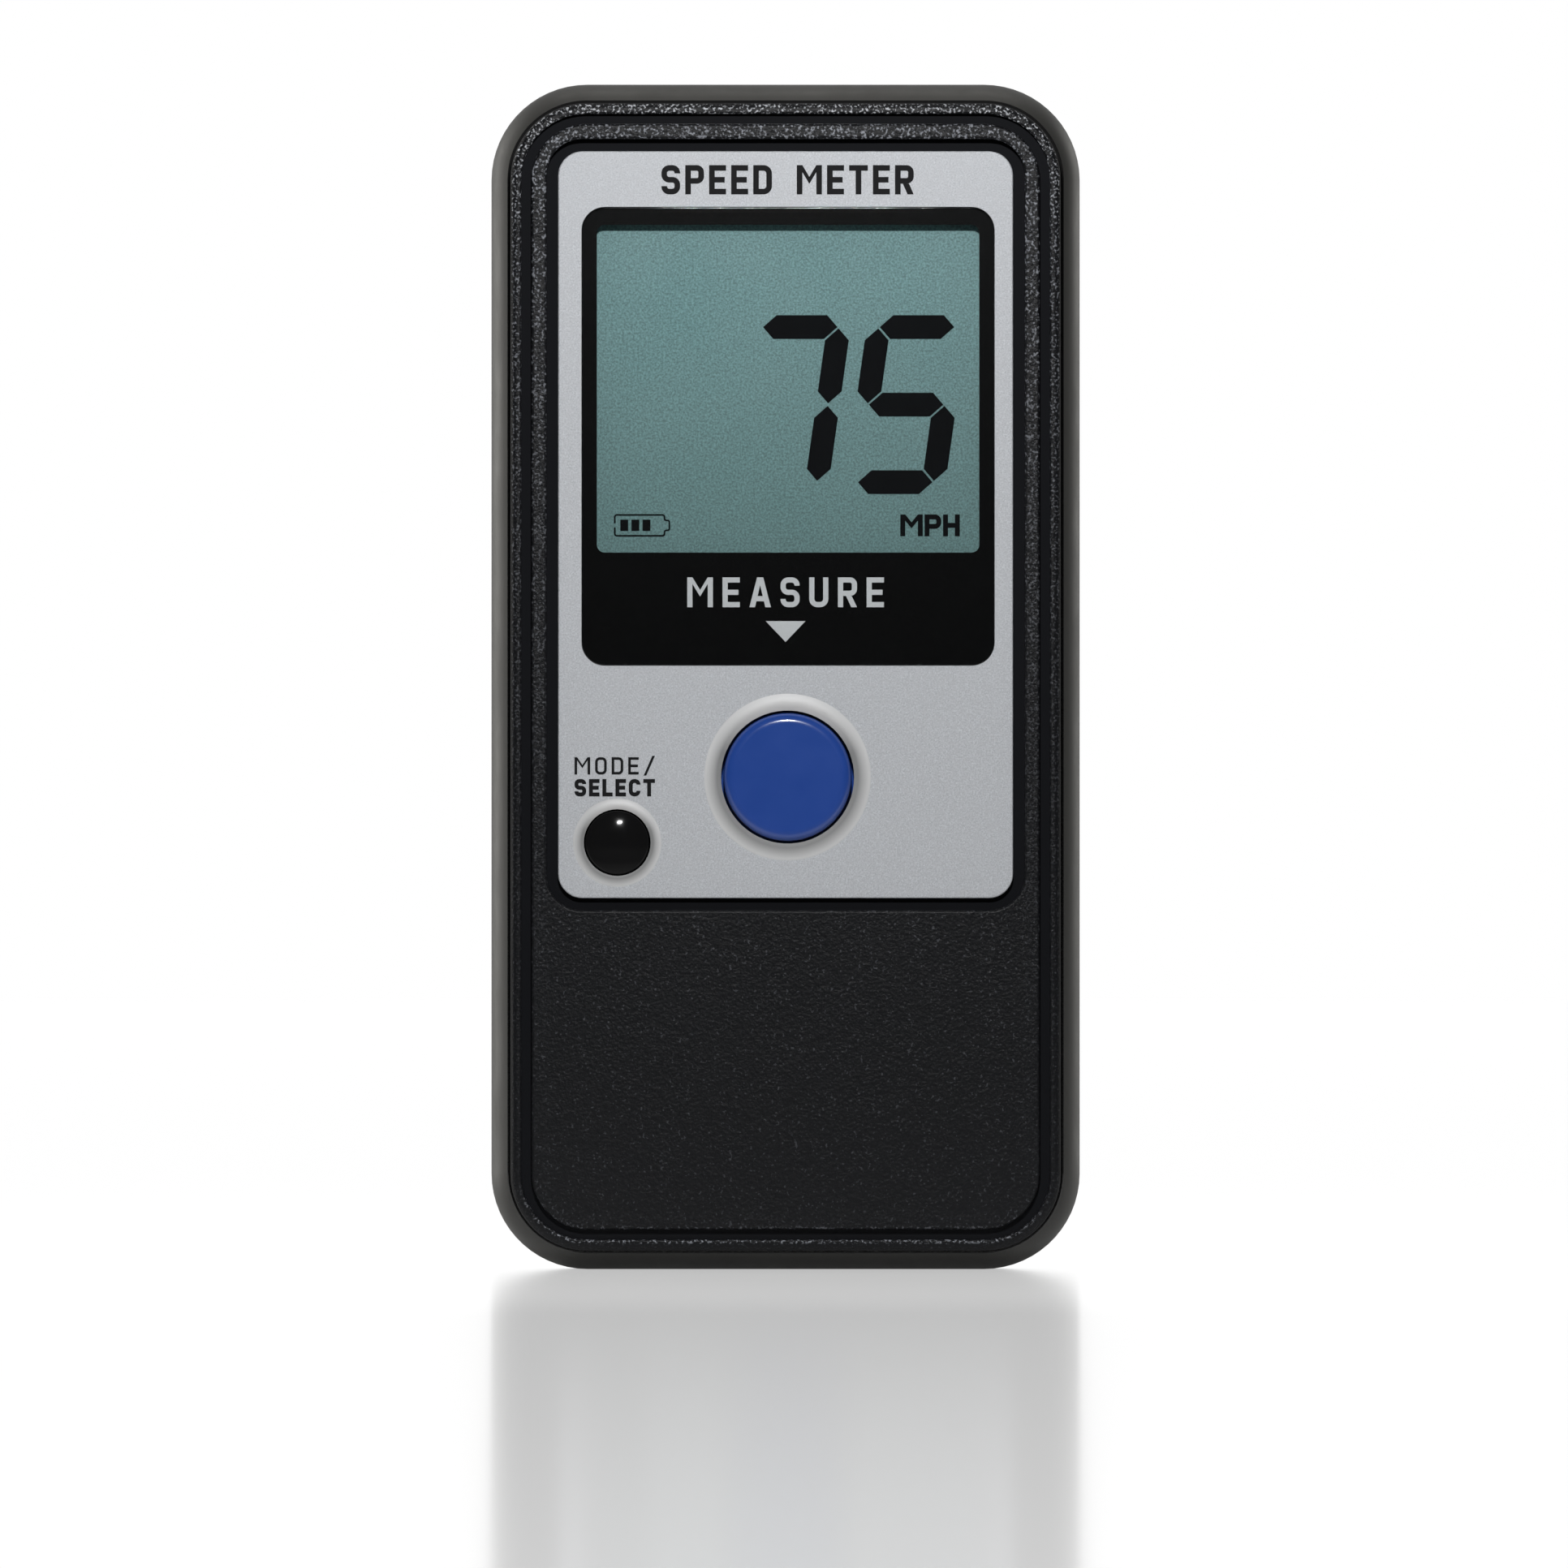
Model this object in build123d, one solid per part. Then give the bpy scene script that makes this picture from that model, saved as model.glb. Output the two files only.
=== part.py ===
from build123d import *
import math
import os

# A flat speed radar: a hand-held Doppler sensor with a liquid crystal display, a large
# measure button and a small mode button, powered by two AAA cells behind a rear door.
# Units are millimetres. X runs to the right of the display, Y from front to back and Z up.
# The origin is the middle of the bottom end, and the display faces -Y.

# ---- driving dimensions: the casing ------------------------------------------------------
WIDTH = 59.3
HEIGHT = 119.4
CORNER = 9.65  # outline corner radius, seen from the front
MIDDLE = HEIGHT / 2
BACK = 10.15  # rear face
RIM = -9.95  # crest of the front rim
PARTING = -6.8  # plane where the front cover meets the rear shell
FRONT_ROUND = 5.0  # rounding of the rear shell towards the front cover
FRONT_INSET = 1.72  # how far that rounding has closed in at the parting plane
REAR_ROUND = 4.5
SIDE_WALL = 3.0
BACK_INNER, INNER_ROUND = 8.7, 1.5  # inside of the rear wall
EASE = 0.05  # small assembly gap
JOIN = 0.2  # how far features of one moulding run into each other
FIT = 0.15  # assembly gap between mouldings

# ---- driving dimensions: the front -------------------------------------------------------
RIM_OUTER, RIM_INNER = 1.95, 3.05  # insets of the rim from the outline
PLATEAU_INSET = 4.05
PLATEAU = -9.8
GROOVE_FLOOR = -9.0
COVER_INNER = -7.1  # inside of the front cover
LOWER_INNER = -8.0  # the same below the fascia, where the cover is hollowed
LOWER_SIZE, LOWER_Z = (48.1, 27.0), 20.5
RIM_ROUND, RIM_EDGE, PLATEAU_ROUND, RECESS_ROUND = 0.75, 0.22, 0.45, 0.3
SKIRT_OUTER, SKIRT_INNER = SIDE_WALL + FIT, 4.6
SKIRT_END = -4.9
FASCIA_Z = 75.0
RECESS_SIZE, RECESS_CORNER = (48.1, 77.6), 3.6
FASCIA_SIZE, FASCIA_CORNER = (45.8, 75.2), 2.45
FASCIA_FACE = -9.1
RECESS_FLOOR = -8.3
FILM = 0.1  # thickness of adhesive and printed films
PRINT_GAP = 0.03  # between the window and the printed mask behind it
DISPLAY_X = 0.25  # the window sits a touch to the right on the fascia
LENS_SIZE, LENS_CORNER, LENS_Z = (41.5, 46.1), 2.3, 83.9
VIEW_SIZE, VIEW_CORNER, VIEW_Z = (38.5, 33.0), 0.8, 88.7

# ---- driving dimensions: the buttons -----------------------------------------------------
MEASURE_AT, MODE_AT = (0.2, 49.6), (-16.95, 43.0)
MEASURE_R, MODE_R = 6.45, 3.2
MEASURE_HOLE, MODE_HOLE = 6.7, 3.36
MEASURE_COLLAR, MODE_COLLAR = 8.4, 4.45  # outer radii of the raised collars
MEASURE_RISE, MODE_RISE = 0.26, 0.22
MEASURE_ROUND = 1.0  # rounding of the measure key's face
KEY_FACE, MODE_EDGE = -10.15, -9.45
CAP_FLOOR = -8.4  # inside of a keycap's face
SWITCH_SIDE = 5.2
SWITCH_TOP, SWITCH_PLATE = -6.0, 0.25
STEM_R, STEM_TOP, STEM_BACK = 1.5, -6.4, -5.35
FLANGE_TOP, FLANGE_BACK = -7.05, -6.45

# ---- driving dimensions: boards and display ----------------------------------------------
BOARD_FRONT, BOARD_BACK = -4.4, -3.2
BOARD_SIZE, BOARD_Z, BOARD_NOTCH = (48.6, 108.0), 59.5, 6.6
GLASS_WIDTH = 44.0
FRONT_GLASS_HEIGHT, REAR_GLASS_HEIGHT = 37.6, 33.4
GLASS_FRONT, GLASS_MIDDLE, GLASS_BACK = -6.6, -5.9, -5.2
ANTENNA_FRONT, ANTENNA_BACK = 6.9, 7.7
ANTENNA_Z, ANTENNA_SIZE = 86.0, (43.0, 41.0)
COPPER = 0.035
FRAME_PEG_R = 0.5
FRAME_PEGS = [(side * 22.6 + 0.25, z) for side in (-1, 1) for z in (76.7, 100.7)]
SOCKET_Z, SOCKET_SIZE, SOCKET_BACK = 70.0, (13.0, 5.0), 4.35
PIN_PITCH, PIN_COLUMNS, PIN_SIDE, PIN_FRONT = 2.54, 5, 0.6, -1.8
CHIP_AT, CHIP_SIDE = (-9.0, 0.0, 96.0), 10.0
SHIELD_Z, SHIELD_SIZE, SHIELD_HEIGHT, SHIELD_SHEET = 88.5, (30.0, 24.0), 3.0, 0.3

# ---- driving dimensions: power -----------------------------------------------------------
CELL_R, CELL_LENGTH = 5.25, 44.5
CELL_X, CELL_Y = 5.5, 3.1
NUB_R, NUB_LENGTH = 1.9, 0.8
BAY_HALF, BAY_WALL = 11.4, 1.2
BAY_LOW, BAY_HIGH = 9.5, 59.5
BAY_FLOOR_FRONT, BAY_FLOOR_BACK = -3.0, -2.2
CONTACT = 0.3
DOOR_INNER = 8.6
DOOR_HALF, DOOR_LOW, DOOR_HIGH = 14.15, 8.4, 62.3
DOOR_CORNER = 2.0
LEDGE, LEDGE_FRONT = 1.5, 7.9
TAB_X, TAB_WIDTH, TAB_SWEEP = 9.9, 2.4, 3.2
TAIL_Z = BAY_HIGH - CONTACT / 2  # height of the tails that reach the main board

# ---- driving dimensions: fasteners -------------------------------------------------------
HOUSING_SCREWS = [(-21.5, 111.7), (21.5, 111.7), (-21.6, 8.6), (21.6, 8.6)]
BOARD_SCREWS = [(-14.0, 111.3), (14.0, 111.3), (-20.0, 24.0), (20.0, 24.0)]
ANTENNA_SCREWS = [(-19.5, 69.0), (19.5, 69.0), (-19.5, 103.0), (19.5, 103.0)]
BOSS_JOIN = 0.95  # plane where the front and rear screw bosses meet
HEAD_SEAT, HEAD_RECESS = 5.0, 2.3
HOUSING_BOSS, FRONT_BOSS, SMALL_BOSS = 3.2, 2.4, 1.8  # boss radii

# ---- driving dimensions: screws (length, shank radius, head radius, head height) ---------
HOUSING_SCREW = (10.0, 1.0, 2.0, 1.5)
BOARD_SCREW = (4.0, 0.8, 1.7, 1.0)
ANTENNA_SCREW = (2.1, 0.8, 1.5, 0.9)
PILOT = 0.03  # how much wider a pilot hole is than the shank

# ---- driving dimensions: rear label and strap slot ---------------------------------------
LABEL_SIZE, LABEL_CORNER, LABEL_Z = (43.0, 34.0), 3.0, 88.0
LABEL_DEPTH, LABEL_FILM = 0.4, 0.3
STRAP_WIDTH, STRAP_WALL = 7.4, 1.2
STRAP_FRONT, STRAP_BACK = 3.0, 7.4  # depths of the leg that opens in the bottom end
STRAP_LOW, STRAP_HIGH = 3.2, 7.6  # heights of the leg that opens in the rear face


# ---- helpers -----------------------------------------------------------------------------
def prism(sketch, front, back):
    """A sketch drawn in X and Z, extruded between two depths."""
    plane = Plane(origin=(0, back, 0), x_dir=(1, 0, 0), z_dir=(0, -1, 0))
    return extrude(plane * sketch, back - front)


def rounded(size, corner, x=0.0, z=0.0):
    return Pos(x, z) * RectangleRounded(size[0], size[1], corner)


def rectangle(width, height, x=0.0, z=0.0):
    return Pos(x, z) * Rectangle(width, height)


def outline(inset):
    """The front outline, moved in by an inset all round."""
    size = (WIDTH - 2 * inset, HEIGHT - 2 * inset)
    return rounded(size, CORNER - inset, 0, MIDDLE)


def peg(at, radius, front, back):
    return prism(Pos(*at) * Circle(radius), front, back)


def block(x_range, y_range, z_range):
    lows, highs = zip(x_range, y_range, z_range)
    sizes = [high - low for low, high in zip(lows, highs)]
    centre = [(high + low) / 2 for low, high in zip(lows, highs)]
    return Pos(*centre) * Box(*sizes)


def edges_at(shape, y):
    return shape.edges().filter_by_position(Axis.Y, y - 1e-3, y + 1e-3)


def turned(at, edges):
    """A closed profile of radius and depth turned about the Y line through a place on the front."""
    return Pos(at[0], 0, at[1]) * revolve(make_face(edges), Axis.Y)


def group(shapes):
    return Compound(children=list(shapes))


PARTS = {}


# ---- casing ------------------------------------------------------------------------------
def strap_tunnel():
    """An L-shaped passage from the rear face to the bottom end, for a wrist strap loop."""
    span = (-STRAP_WIDTH / 2, STRAP_WIDTH / 2)
    from_back = block(span, (STRAP_FRONT, BACK + 1), (STRAP_LOW, STRAP_HIGH))
    from_below = block(span, (STRAP_FRONT, STRAP_BACK), (-1, STRAP_HIGH))
    return from_back + from_below


def strap_housing():
    """The solid material round the passage, between the end wall and the battery bay."""
    half = STRAP_WIDTH / 2 + STRAP_WALL
    depths = (STRAP_FRONT - STRAP_WALL, BACK_INNER + JOIN)
    return block((-half, half), depths, (SIDE_WALL - JOIN, BAY_LOW - JOIN))


def rear_shell():
    start = PARTING - FRONT_ROUND + math.sqrt(
        FRONT_ROUND**2 - (FRONT_ROUND - FRONT_INSET) ** 2
    )
    body = prism(outline(0), start, BACK)
    body = fillet(edges_at(body, BACK), REAR_ROUND)
    body = fillet(edges_at(body, start), FRONT_ROUND - 0.01)
    body -= prism(outline(-1), start - 1, PARTING)
    cavity = prism(outline(SIDE_WALL), PARTING - 1, BACK_INNER)
    cavity = fillet(edges_at(cavity, BACK_INNER), INNER_ROUND)
    body -= cavity
    body += bay_walls()
    for at in HOUSING_SCREWS:
        body += peg(at, HOUSING_BOSS, BOSS_JOIN, BACK_INNER + JOIN)
    for at in ANTENNA_SCREWS:
        body += peg(at, SMALL_BOSS, ANTENNA_BACK, BACK_INNER + JOIN)
    body += strap_housing()
    for at in HOUSING_SCREWS:
        body -= peg(at, HOUSING_SCREW[1] + JOIN, BOSS_JOIN - 1, BACK)
        body -= peg(at, HEAD_RECESS, HEAD_SEAT, BACK + 1)
    for at in ANTENNA_SCREWS:
        body -= peg(at, ANTENNA_SCREW[1] + PILOT, ANTENNA_BACK - 1, BACK_INNER + 2 * JOIN)
    body -= strap_tunnel()
    recess = (LABEL_SIZE[0] + 4 * EASE, LABEL_SIZE[1] + 4 * EASE)
    recess = rounded(recess, LABEL_CORNER + 2 * EASE, 0, LABEL_Z)
    return body - prism(recess, BACK - LABEL_DEPTH, BACK + 1)


def bay_walls():
    """The battery bay: a tub with a ledge for the door."""
    bay_z, bay_height = (BAY_LOW + BAY_HIGH) / 2, BAY_HIGH - BAY_LOW
    tub_size = (2 * (BAY_HALF + BAY_WALL), bay_height + 2 * BAY_WALL)
    tub = prism(rectangle(*tub_size, 0, bay_z), BAY_FLOOR_FRONT, BACK_INNER + JOIN)
    ledge = (2 * (DOOR_HALF + LEDGE), DOOR_HIGH - DOOR_LOW + 2 * LEDGE)
    door_z = (DOOR_LOW + DOOR_HIGH) / 2
    return tub + prism(rounded(ledge, 2 * LEDGE, 0, door_z), LEDGE_FRONT, BACK_INNER + JOIN)


def open_bay(shell):
    """Cuts the bay, the door's seat, and the notches for its tabs and the contacts' tails."""
    bay_z, bay_height = (BAY_LOW + BAY_HIGH) / 2, BAY_HIGH - BAY_LOW
    door_z = (DOOR_LOW + DOOR_HIGH) / 2
    shell -= prism(rectangle(2 * BAY_HALF, bay_height, 0, bay_z), BAY_FLOOR_BACK, BACK + 1)
    seat = (2 * (DOOR_HALF + FIT), DOOR_HIGH - DOOR_LOW + 2 * FIT)
    shell -= prism(rounded(seat, DOOR_CORNER + FIT, 0, door_z), DOOR_INNER - EASE, BACK + 1)
    for side in (-1, 1):
        swing = Rot(0, 90, 0) * Cylinder(TAB_SWEEP, TAB_WIDTH + 0.4)
        swing = Pos(side * TAB_X, BACK, DOOR_LOW) * swing
        shell -= swing & block((-WIDTH, WIDTH), (0, DOOR_INNER), (0, 2 * DOOR_LOW))
        tail = rectangle(2.6, 0.9, side * CELL_X, TAIL_Z)
        shell -= prism(tail, BAY_FLOOR_FRONT - 1, BAY_FLOOR_BACK + 1)
    return shell


def front_cover():
    """The textured moulding: a raised rim, a groove, the fascia's recess and four bosses."""
    cover = prism(outline(RIM_OUTER), RIM, PARTING)
    cover = fillet(edges_at(cover, RIM), RIM_ROUND)
    cover -= prism(outline(RIM_INNER), RIM - 1, PLATEAU)
    cover -= prism(outline(RIM_INNER) - outline(PLATEAU_INSET), RIM - 1, GROOVE_FLOOR)
    cover += prism(outline(SKIRT_OUTER) - outline(SKIRT_INNER), PARTING, SKIRT_END)
    cover -= prism(outline(SKIRT_INNER), COVER_INNER, PARTING + 1)
    cover -= prism(rounded(RECESS_SIZE, RECESS_CORNER, 0, FASCIA_Z), RIM - 1, RECESS_FLOOR)
    cover -= prism(rounded(LOWER_SIZE, 3.0, 0, LOWER_Z), LOWER_INNER, PARTING)
    window = (VIEW_SIZE[0] + 1, VIEW_SIZE[1] + 1)
    cover -= prism(rounded(window, VIEW_CORNER + 0.4, DISPLAY_X, VIEW_Z), RIM, PARTING)
    cover -= peg(MEASURE_AT, MEASURE_HOLE, RIM, PARTING)
    cover -= peg(MODE_AT, MODE_HOLE, RIM, PARTING)
    for at in HOUSING_SCREWS:
        cover += peg(at, FRONT_BOSS, COVER_INNER - JOIN, BOSS_JOIN - EASE)
        cover -= peg(at, HOUSING_SCREW[1] + PILOT, -5.6, BOSS_JOIN)
    for at in BOARD_SCREWS:
        floor = COVER_INNER if at[1] > FASCIA_Z else LOWER_INNER
        cover += peg(at, SMALL_BOSS, floor - JOIN, BOARD_FRONT)
        cover -= peg(at, BOARD_SCREW[1] + PILOT, -7.6, BOARD_FRONT)
    return cover


def soften_front(cover):
    """Rounds the edges that a finger feels: rim, plateau and recess lip."""
    cover = fillet(edges_at(cover, RIM), RIM_EDGE)
    plateau = edges_at(cover, PLATEAU)
    outer, recess = [], []
    for edge in plateau:
        centre = edge.center()
        beside = abs(centre.X) < RECESS_SIZE[0] / 2 + 0.1
        level = abs(centre.Z - FASCIA_Z) < RECESS_SIZE[1] / 2 + 0.1
        (recess if beside and level else outer).append(edge)
    cover = fillet(outer, PLATEAU_ROUND)
    return fillet(recess, RECESS_ROUND)


# ---- fascia ------------------------------------------------------------------------------
def collar(at, hole, outer, rise):
    """A raised collar about a button's hole, highest close to the hole."""
    root = FASCIA_FACE + JOIN
    crest = (hole + 0.35 * (outer - hole), FASCIA_FACE - rise)
    lip = (hole, FASCIA_FACE - 0.8 * rise)
    arc = ThreePointArc((outer, FASCIA_FACE), crest, lip)
    base = Polyline(lip, (hole, root), (outer, root), (outer, FASCIA_FACE))
    return turned(at, arc.edges() + base.edges())


def fascia_plate():
    back = RECESS_FLOOR - FILM
    plate = prism(rounded(FASCIA_SIZE, FASCIA_CORNER, 0, FASCIA_Z), FASCIA_FACE, back)
    plate = fillet(edges_at(plate, FASCIA_FACE), 0.15)
    plate += collar(MEASURE_AT, MEASURE_HOLE, MEASURE_COLLAR, MEASURE_RISE)
    plate += collar(MODE_AT, MODE_HOLE, MODE_COLLAR, MODE_RISE)
    plate -= peg(MEASURE_AT, MEASURE_HOLE, RIM, RECESS_FLOOR)
    plate -= peg(MODE_AT, MODE_HOLE, RIM, RECESS_FLOOR)
    window = (LENS_SIZE[0] + 2 * EASE, LENS_SIZE[1] + 2 * EASE)
    return plate - prism(rounded(window, LENS_CORNER + EASE, DISPLAY_X, LENS_Z), RIM, RECESS_FLOOR)


def fascia_adhesive():
    size = (FASCIA_SIZE[0] - 1, FASCIA_SIZE[1] - 1)
    film = prism(rounded(size, 2.0, 0, FASCIA_Z), RECESS_FLOOR - FILM, RECESS_FLOOR)
    film -= peg(MEASURE_AT, MEASURE_HOLE + 0.5, RIM, PARTING)
    film -= peg(MODE_AT, MODE_HOLE + 0.5, RIM, PARTING)
    window = (LENS_SIZE[0] + 0.6, LENS_SIZE[1] + 0.6)
    return film - prism(rounded(window, LENS_CORNER, DISPLAY_X, LENS_Z), RIM, PARTING)


def display_lens():
    sheet = rounded(LENS_SIZE, LENS_CORNER, DISPLAY_X, LENS_Z)
    lens = prism(sheet, FASCIA_FACE, RECESS_FLOOR - 2 * FILM - PRINT_GAP)
    return fillet(edges_at(lens, FASCIA_FACE), 0.1)


def view_frame(front, back, shrink=0.0):
    """A thin frame under the lens, open over the viewing area."""
    size = (LENS_SIZE[0] - 2 * shrink, LENS_SIZE[1] - 2 * shrink)
    frame = prism(rounded(size, LENS_CORNER - shrink, DISPLAY_X, LENS_Z), front, back)
    view = (VIEW_SIZE[0] + 2 * shrink, VIEW_SIZE[1] + 2 * shrink)
    opening = rounded(view, VIEW_CORNER + shrink, DISPLAY_X, VIEW_Z)
    return frame - prism(opening, front - 1, back + 1)


# ---- buttons and switches ----------------------------------------------------------------
def keycap(at, radius, face):
    """A hollow keycap: its face, a retaining flange and a boss that meets the switch."""
    wall, flange, boss = radius - 1.2, radius + 0.9, STEM_R + 0.3
    start, end = face.edges()[0] @ 0, face.edges()[-1] @ 1
    points = [(end.X, end.Y), (0, STEM_TOP), (boss, STEM_TOP), (boss, CAP_FLOOR)]
    points += [(wall, CAP_FLOOR), (wall, FLANGE_BACK), (flange, FLANGE_BACK)]
    points += [(flange, FLANGE_TOP), (radius, FLANGE_TOP), (start.X, start.Y)]
    return turned(at, face.edges() + Polyline(*points).edges())


def measure_button():
    corner = MEASURE_ROUND * (1 - math.sqrt(0.5))
    side = (MEASURE_R, KEY_FACE + MEASURE_ROUND)
    middle = (MEASURE_R - corner, KEY_FACE + corner)
    arc = ThreePointArc(side, middle, (MEASURE_R - MEASURE_ROUND, KEY_FACE))
    return keycap(MEASURE_AT, MEASURE_R, arc + Line(arc @ 1, (0, KEY_FACE)))


def mode_button():
    """A keycap whose face is cut to a dome by a sphere."""
    rise = MODE_EDGE - KEY_FACE
    sphere = (MODE_R**2 + rise**2) / (2 * rise)
    flat = Line((MODE_R, KEY_FACE), (0, KEY_FACE))
    button = keycap(MODE_AT, MODE_R, flat)
    button &= Pos(MODE_AT[0], KEY_FACE + sphere, MODE_AT[1]) * Sphere(sphere)
    return fillet(edges_at(button, MODE_EDGE), 0.25)


def switch(name, at):
    """A tact switch: moulded base, snap dome, steel cover and stem."""
    plate_back = SWITCH_TOP + SWITCH_PLATE
    base = prism(rectangle(SWITCH_SIDE, SWITCH_SIDE, *at), plate_back, BOARD_FRONT)
    base -= peg(at, 2.0, SWITCH_TOP, BOARD_FRONT - 0.35)
    cover = prism(rounded((SWITCH_SIDE, SWITCH_SIDE), 0.4, *at), SWITCH_TOP, plate_back)
    cover -= peg(at, STEM_R + 0.12, SWITCH_TOP - 1, SWITCH_TOP + 1)
    stem = peg(at, STEM_R, STEM_TOP, STEM_BACK)
    stem += peg(at, STEM_R + 0.35, plate_back + EASE, STEM_BACK - EASE)
    leaf = [(0, -5.0), (0.9, -4.97), (1.8, -4.87), (1.8, -4.79), (0.9, -4.89), (0, -4.92)]
    dome = turned(at, Polyline(*leaf, close=True).edges())
    PARTS[f"{name}_switch_base"] = base
    PARTS[f"{name}_switch_cover"] = cover
    PARTS[f"{name}_switch_stem"] = stem
    PARTS[f"{name}_switch_dome"] = dome


# ---- display module ----------------------------------------------------------------------
def glass(height, front, back):
    return prism(rectangle(GLASS_WIDTH, height, DISPLAY_X, VIEW_Z), front, back)


def lcd_frame():
    outer = (GLASS_WIDTH + 2.8, FRONT_GLASS_HEIGHT + 2.8)
    inner = (GLASS_WIDTH + 0.3, FRONT_GLASS_HEIGHT + 0.3)
    frame = prism(rounded(outer, 1.5, DISPLAY_X, VIEW_Z), GLASS_FRONT, BOARD_FRONT)
    frame -= prism(rectangle(*inner, DISPLAY_X, VIEW_Z), GLASS_FRONT - 1, BOARD_FRONT + 1)
    for at in FRAME_PEGS:
        frame += peg(at, FRAME_PEG_R, BOARD_FRONT - JOIN, BOARD_BACK + 0.5)
    return frame


def lcd_gasket():
    outer = rectangle(GLASS_WIDTH, FRONT_GLASS_HEIGHT, DISPLAY_X, VIEW_Z)
    inner = rectangle(VIEW_SIZE[0] + 2.4, VIEW_SIZE[1] + 2.4, DISPLAY_X, VIEW_Z)
    return prism(outer - inner, COVER_INNER, GLASS_FRONT)


def zebra_strip(side):
    margin = (FRONT_GLASS_HEIGHT - REAR_GLASS_HEIGHT) / 2
    z = VIEW_Z + side * (REAR_GLASS_HEIGHT / 2 + margin / 2 + EASE)
    return prism(rectangle(GLASS_WIDTH - 2, 1.7, DISPLAY_X, z), GLASS_MIDDLE, BOARD_FRONT)


# ---- boards ------------------------------------------------------------------------------
def main_board():
    """The board, with its corners cut away round the casing's screw bosses."""
    front, back = BOARD_FRONT - 1, BOARD_BACK + 1
    board = prism(rectangle(*BOARD_SIZE, 0, BOARD_Z), BOARD_FRONT, BOARD_BACK)
    for x, z in HOUSING_SCREWS:
        board -= prism(rectangle(BOARD_NOTCH, BOARD_NOTCH, x, z), front, back)
    for side in (-1, 1):
        board -= prism(rectangle(2.2, 0.6, side * CELL_X, TAIL_Z), front, back)
    for at in BOARD_SCREWS:
        board -= peg(at, BOARD_SCREW[1] + JOIN, front, back)
    for at in FRAME_PEGS:
        board -= peg(at, FRAME_PEG_R + EASE, front, back)
    return board


def processor_chip():
    body = rounded((CHIP_SIDE, CHIP_SIDE), 0.3, CHIP_AT[0], CHIP_AT[2])
    return prism(body, BOARD_BACK + 0.15, BOARD_BACK + 1.55)


def processor_leads():
    """Gull-wing leads on all four sides of the processor."""
    leads, count, pitch, half = [], 11, 0.8, 0.17
    edge, top = CHIP_SIDE / 2, BOARD_BACK + 0.2
    for index in range(count):
        row = (index - (count - 1) / 2) * pitch
        span = (row - half, row + half)
        foot = block((edge + 0.2, edge + 1.3), (BOARD_BACK, top), span)
        knee = block((edge, edge + 0.4), (top, BOARD_BACK + 0.9), span)
        for turn in range(4):
            leads.append(Pos(*CHIP_AT) * Rot(0, 90 * turn, 0) * (foot + knee))
    return group(leads)


def board_capacitors():
    spots = [(2.0 + 2.6 * column, 84.0 + 3.0 * row) for column in range(3) for row in range(3)]
    return group(prism(rounded((1.2, 2.0), 0.2, *at), BOARD_BACK, BOARD_BACK + 0.9) for at in spots)


def power_inductor():
    coil = prism(rounded((6.0, 6.0), 1.0, 15.5, 88.0), BOARD_BACK, BOARD_BACK + 2.8)
    return fillet(edges_at(coil, BOARD_BACK + 2.8), 0.4)


def crystal_can():
    can = prism(rounded((10.5, 4.0), 1.95, 10.0, 100.5), BOARD_BACK, BOARD_BACK + 3.4)
    return fillet(edges_at(can, BOARD_BACK + 3.4), 0.4)


def pin_places():
    start = -(PIN_COLUMNS - 1) / 2 * PIN_PITCH
    rows = (SOCKET_Z - PIN_PITCH / 2, SOCKET_Z + PIN_PITCH / 2)
    return [(start + PIN_PITCH * column, z) for column in range(PIN_COLUMNS) for z in rows]


def board_socket():
    """The tall socket on the main board; each slot is wider than its pin."""
    body = prism(rectangle(*SOCKET_SIZE, 0, SOCKET_Z), BOARD_BACK, SOCKET_BACK)
    slot = PIN_SIDE + 0.2
    for at in pin_places():
        body -= prism(rectangle(slot, slot, *at), PIN_FRONT - 0.2, SOCKET_BACK + 1)
    return body


def antenna_header():
    front = SOCKET_BACK + EASE
    body = prism(rectangle(*SOCKET_SIZE, 0, SOCKET_Z), front, ANTENNA_FRONT)
    slot = PIN_SIDE + 0.04
    for at in pin_places():
        body -= prism(rectangle(slot, slot, *at), front - 1, ANTENNA_FRONT + 1)
    return body


def antenna_board():
    board = prism(rounded(ANTENNA_SIZE, 1.5, 0, ANTENNA_Z), ANTENNA_FRONT, ANTENNA_BACK)
    for at in ANTENNA_SCREWS:
        board -= peg(at, ANTENNA_SCREW[1] + 0.25, ANTENNA_FRONT - 1, ANTENNA_BACK + 1)
    return board


def antenna_patches():
    """Six series-fed columns of patches; the outer two are cut short by the screws."""
    back = ANTENNA_BACK + COPPER
    patch, pitch, feed, rows = (4.3, 3.4), (6.5, 7.6), (0.5, 27.0), 4
    columns = []
    for index in range(6):
        x = (index - 2.5) * pitch[0]
        column = prism(rectangle(*feed, x, ANTENNA_Z - 1.0), ANTENNA_BACK, back)
        shown = range(1, rows - 1) if index in (0, 5) else range(rows)
        for row in shown:
            z = ANTENNA_Z + 12.0 - pitch[1] * row
            column += prism(rectangle(*patch, x, z), ANTENNA_BACK, back)
        columns.append(column)
    return group(columns)


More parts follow.
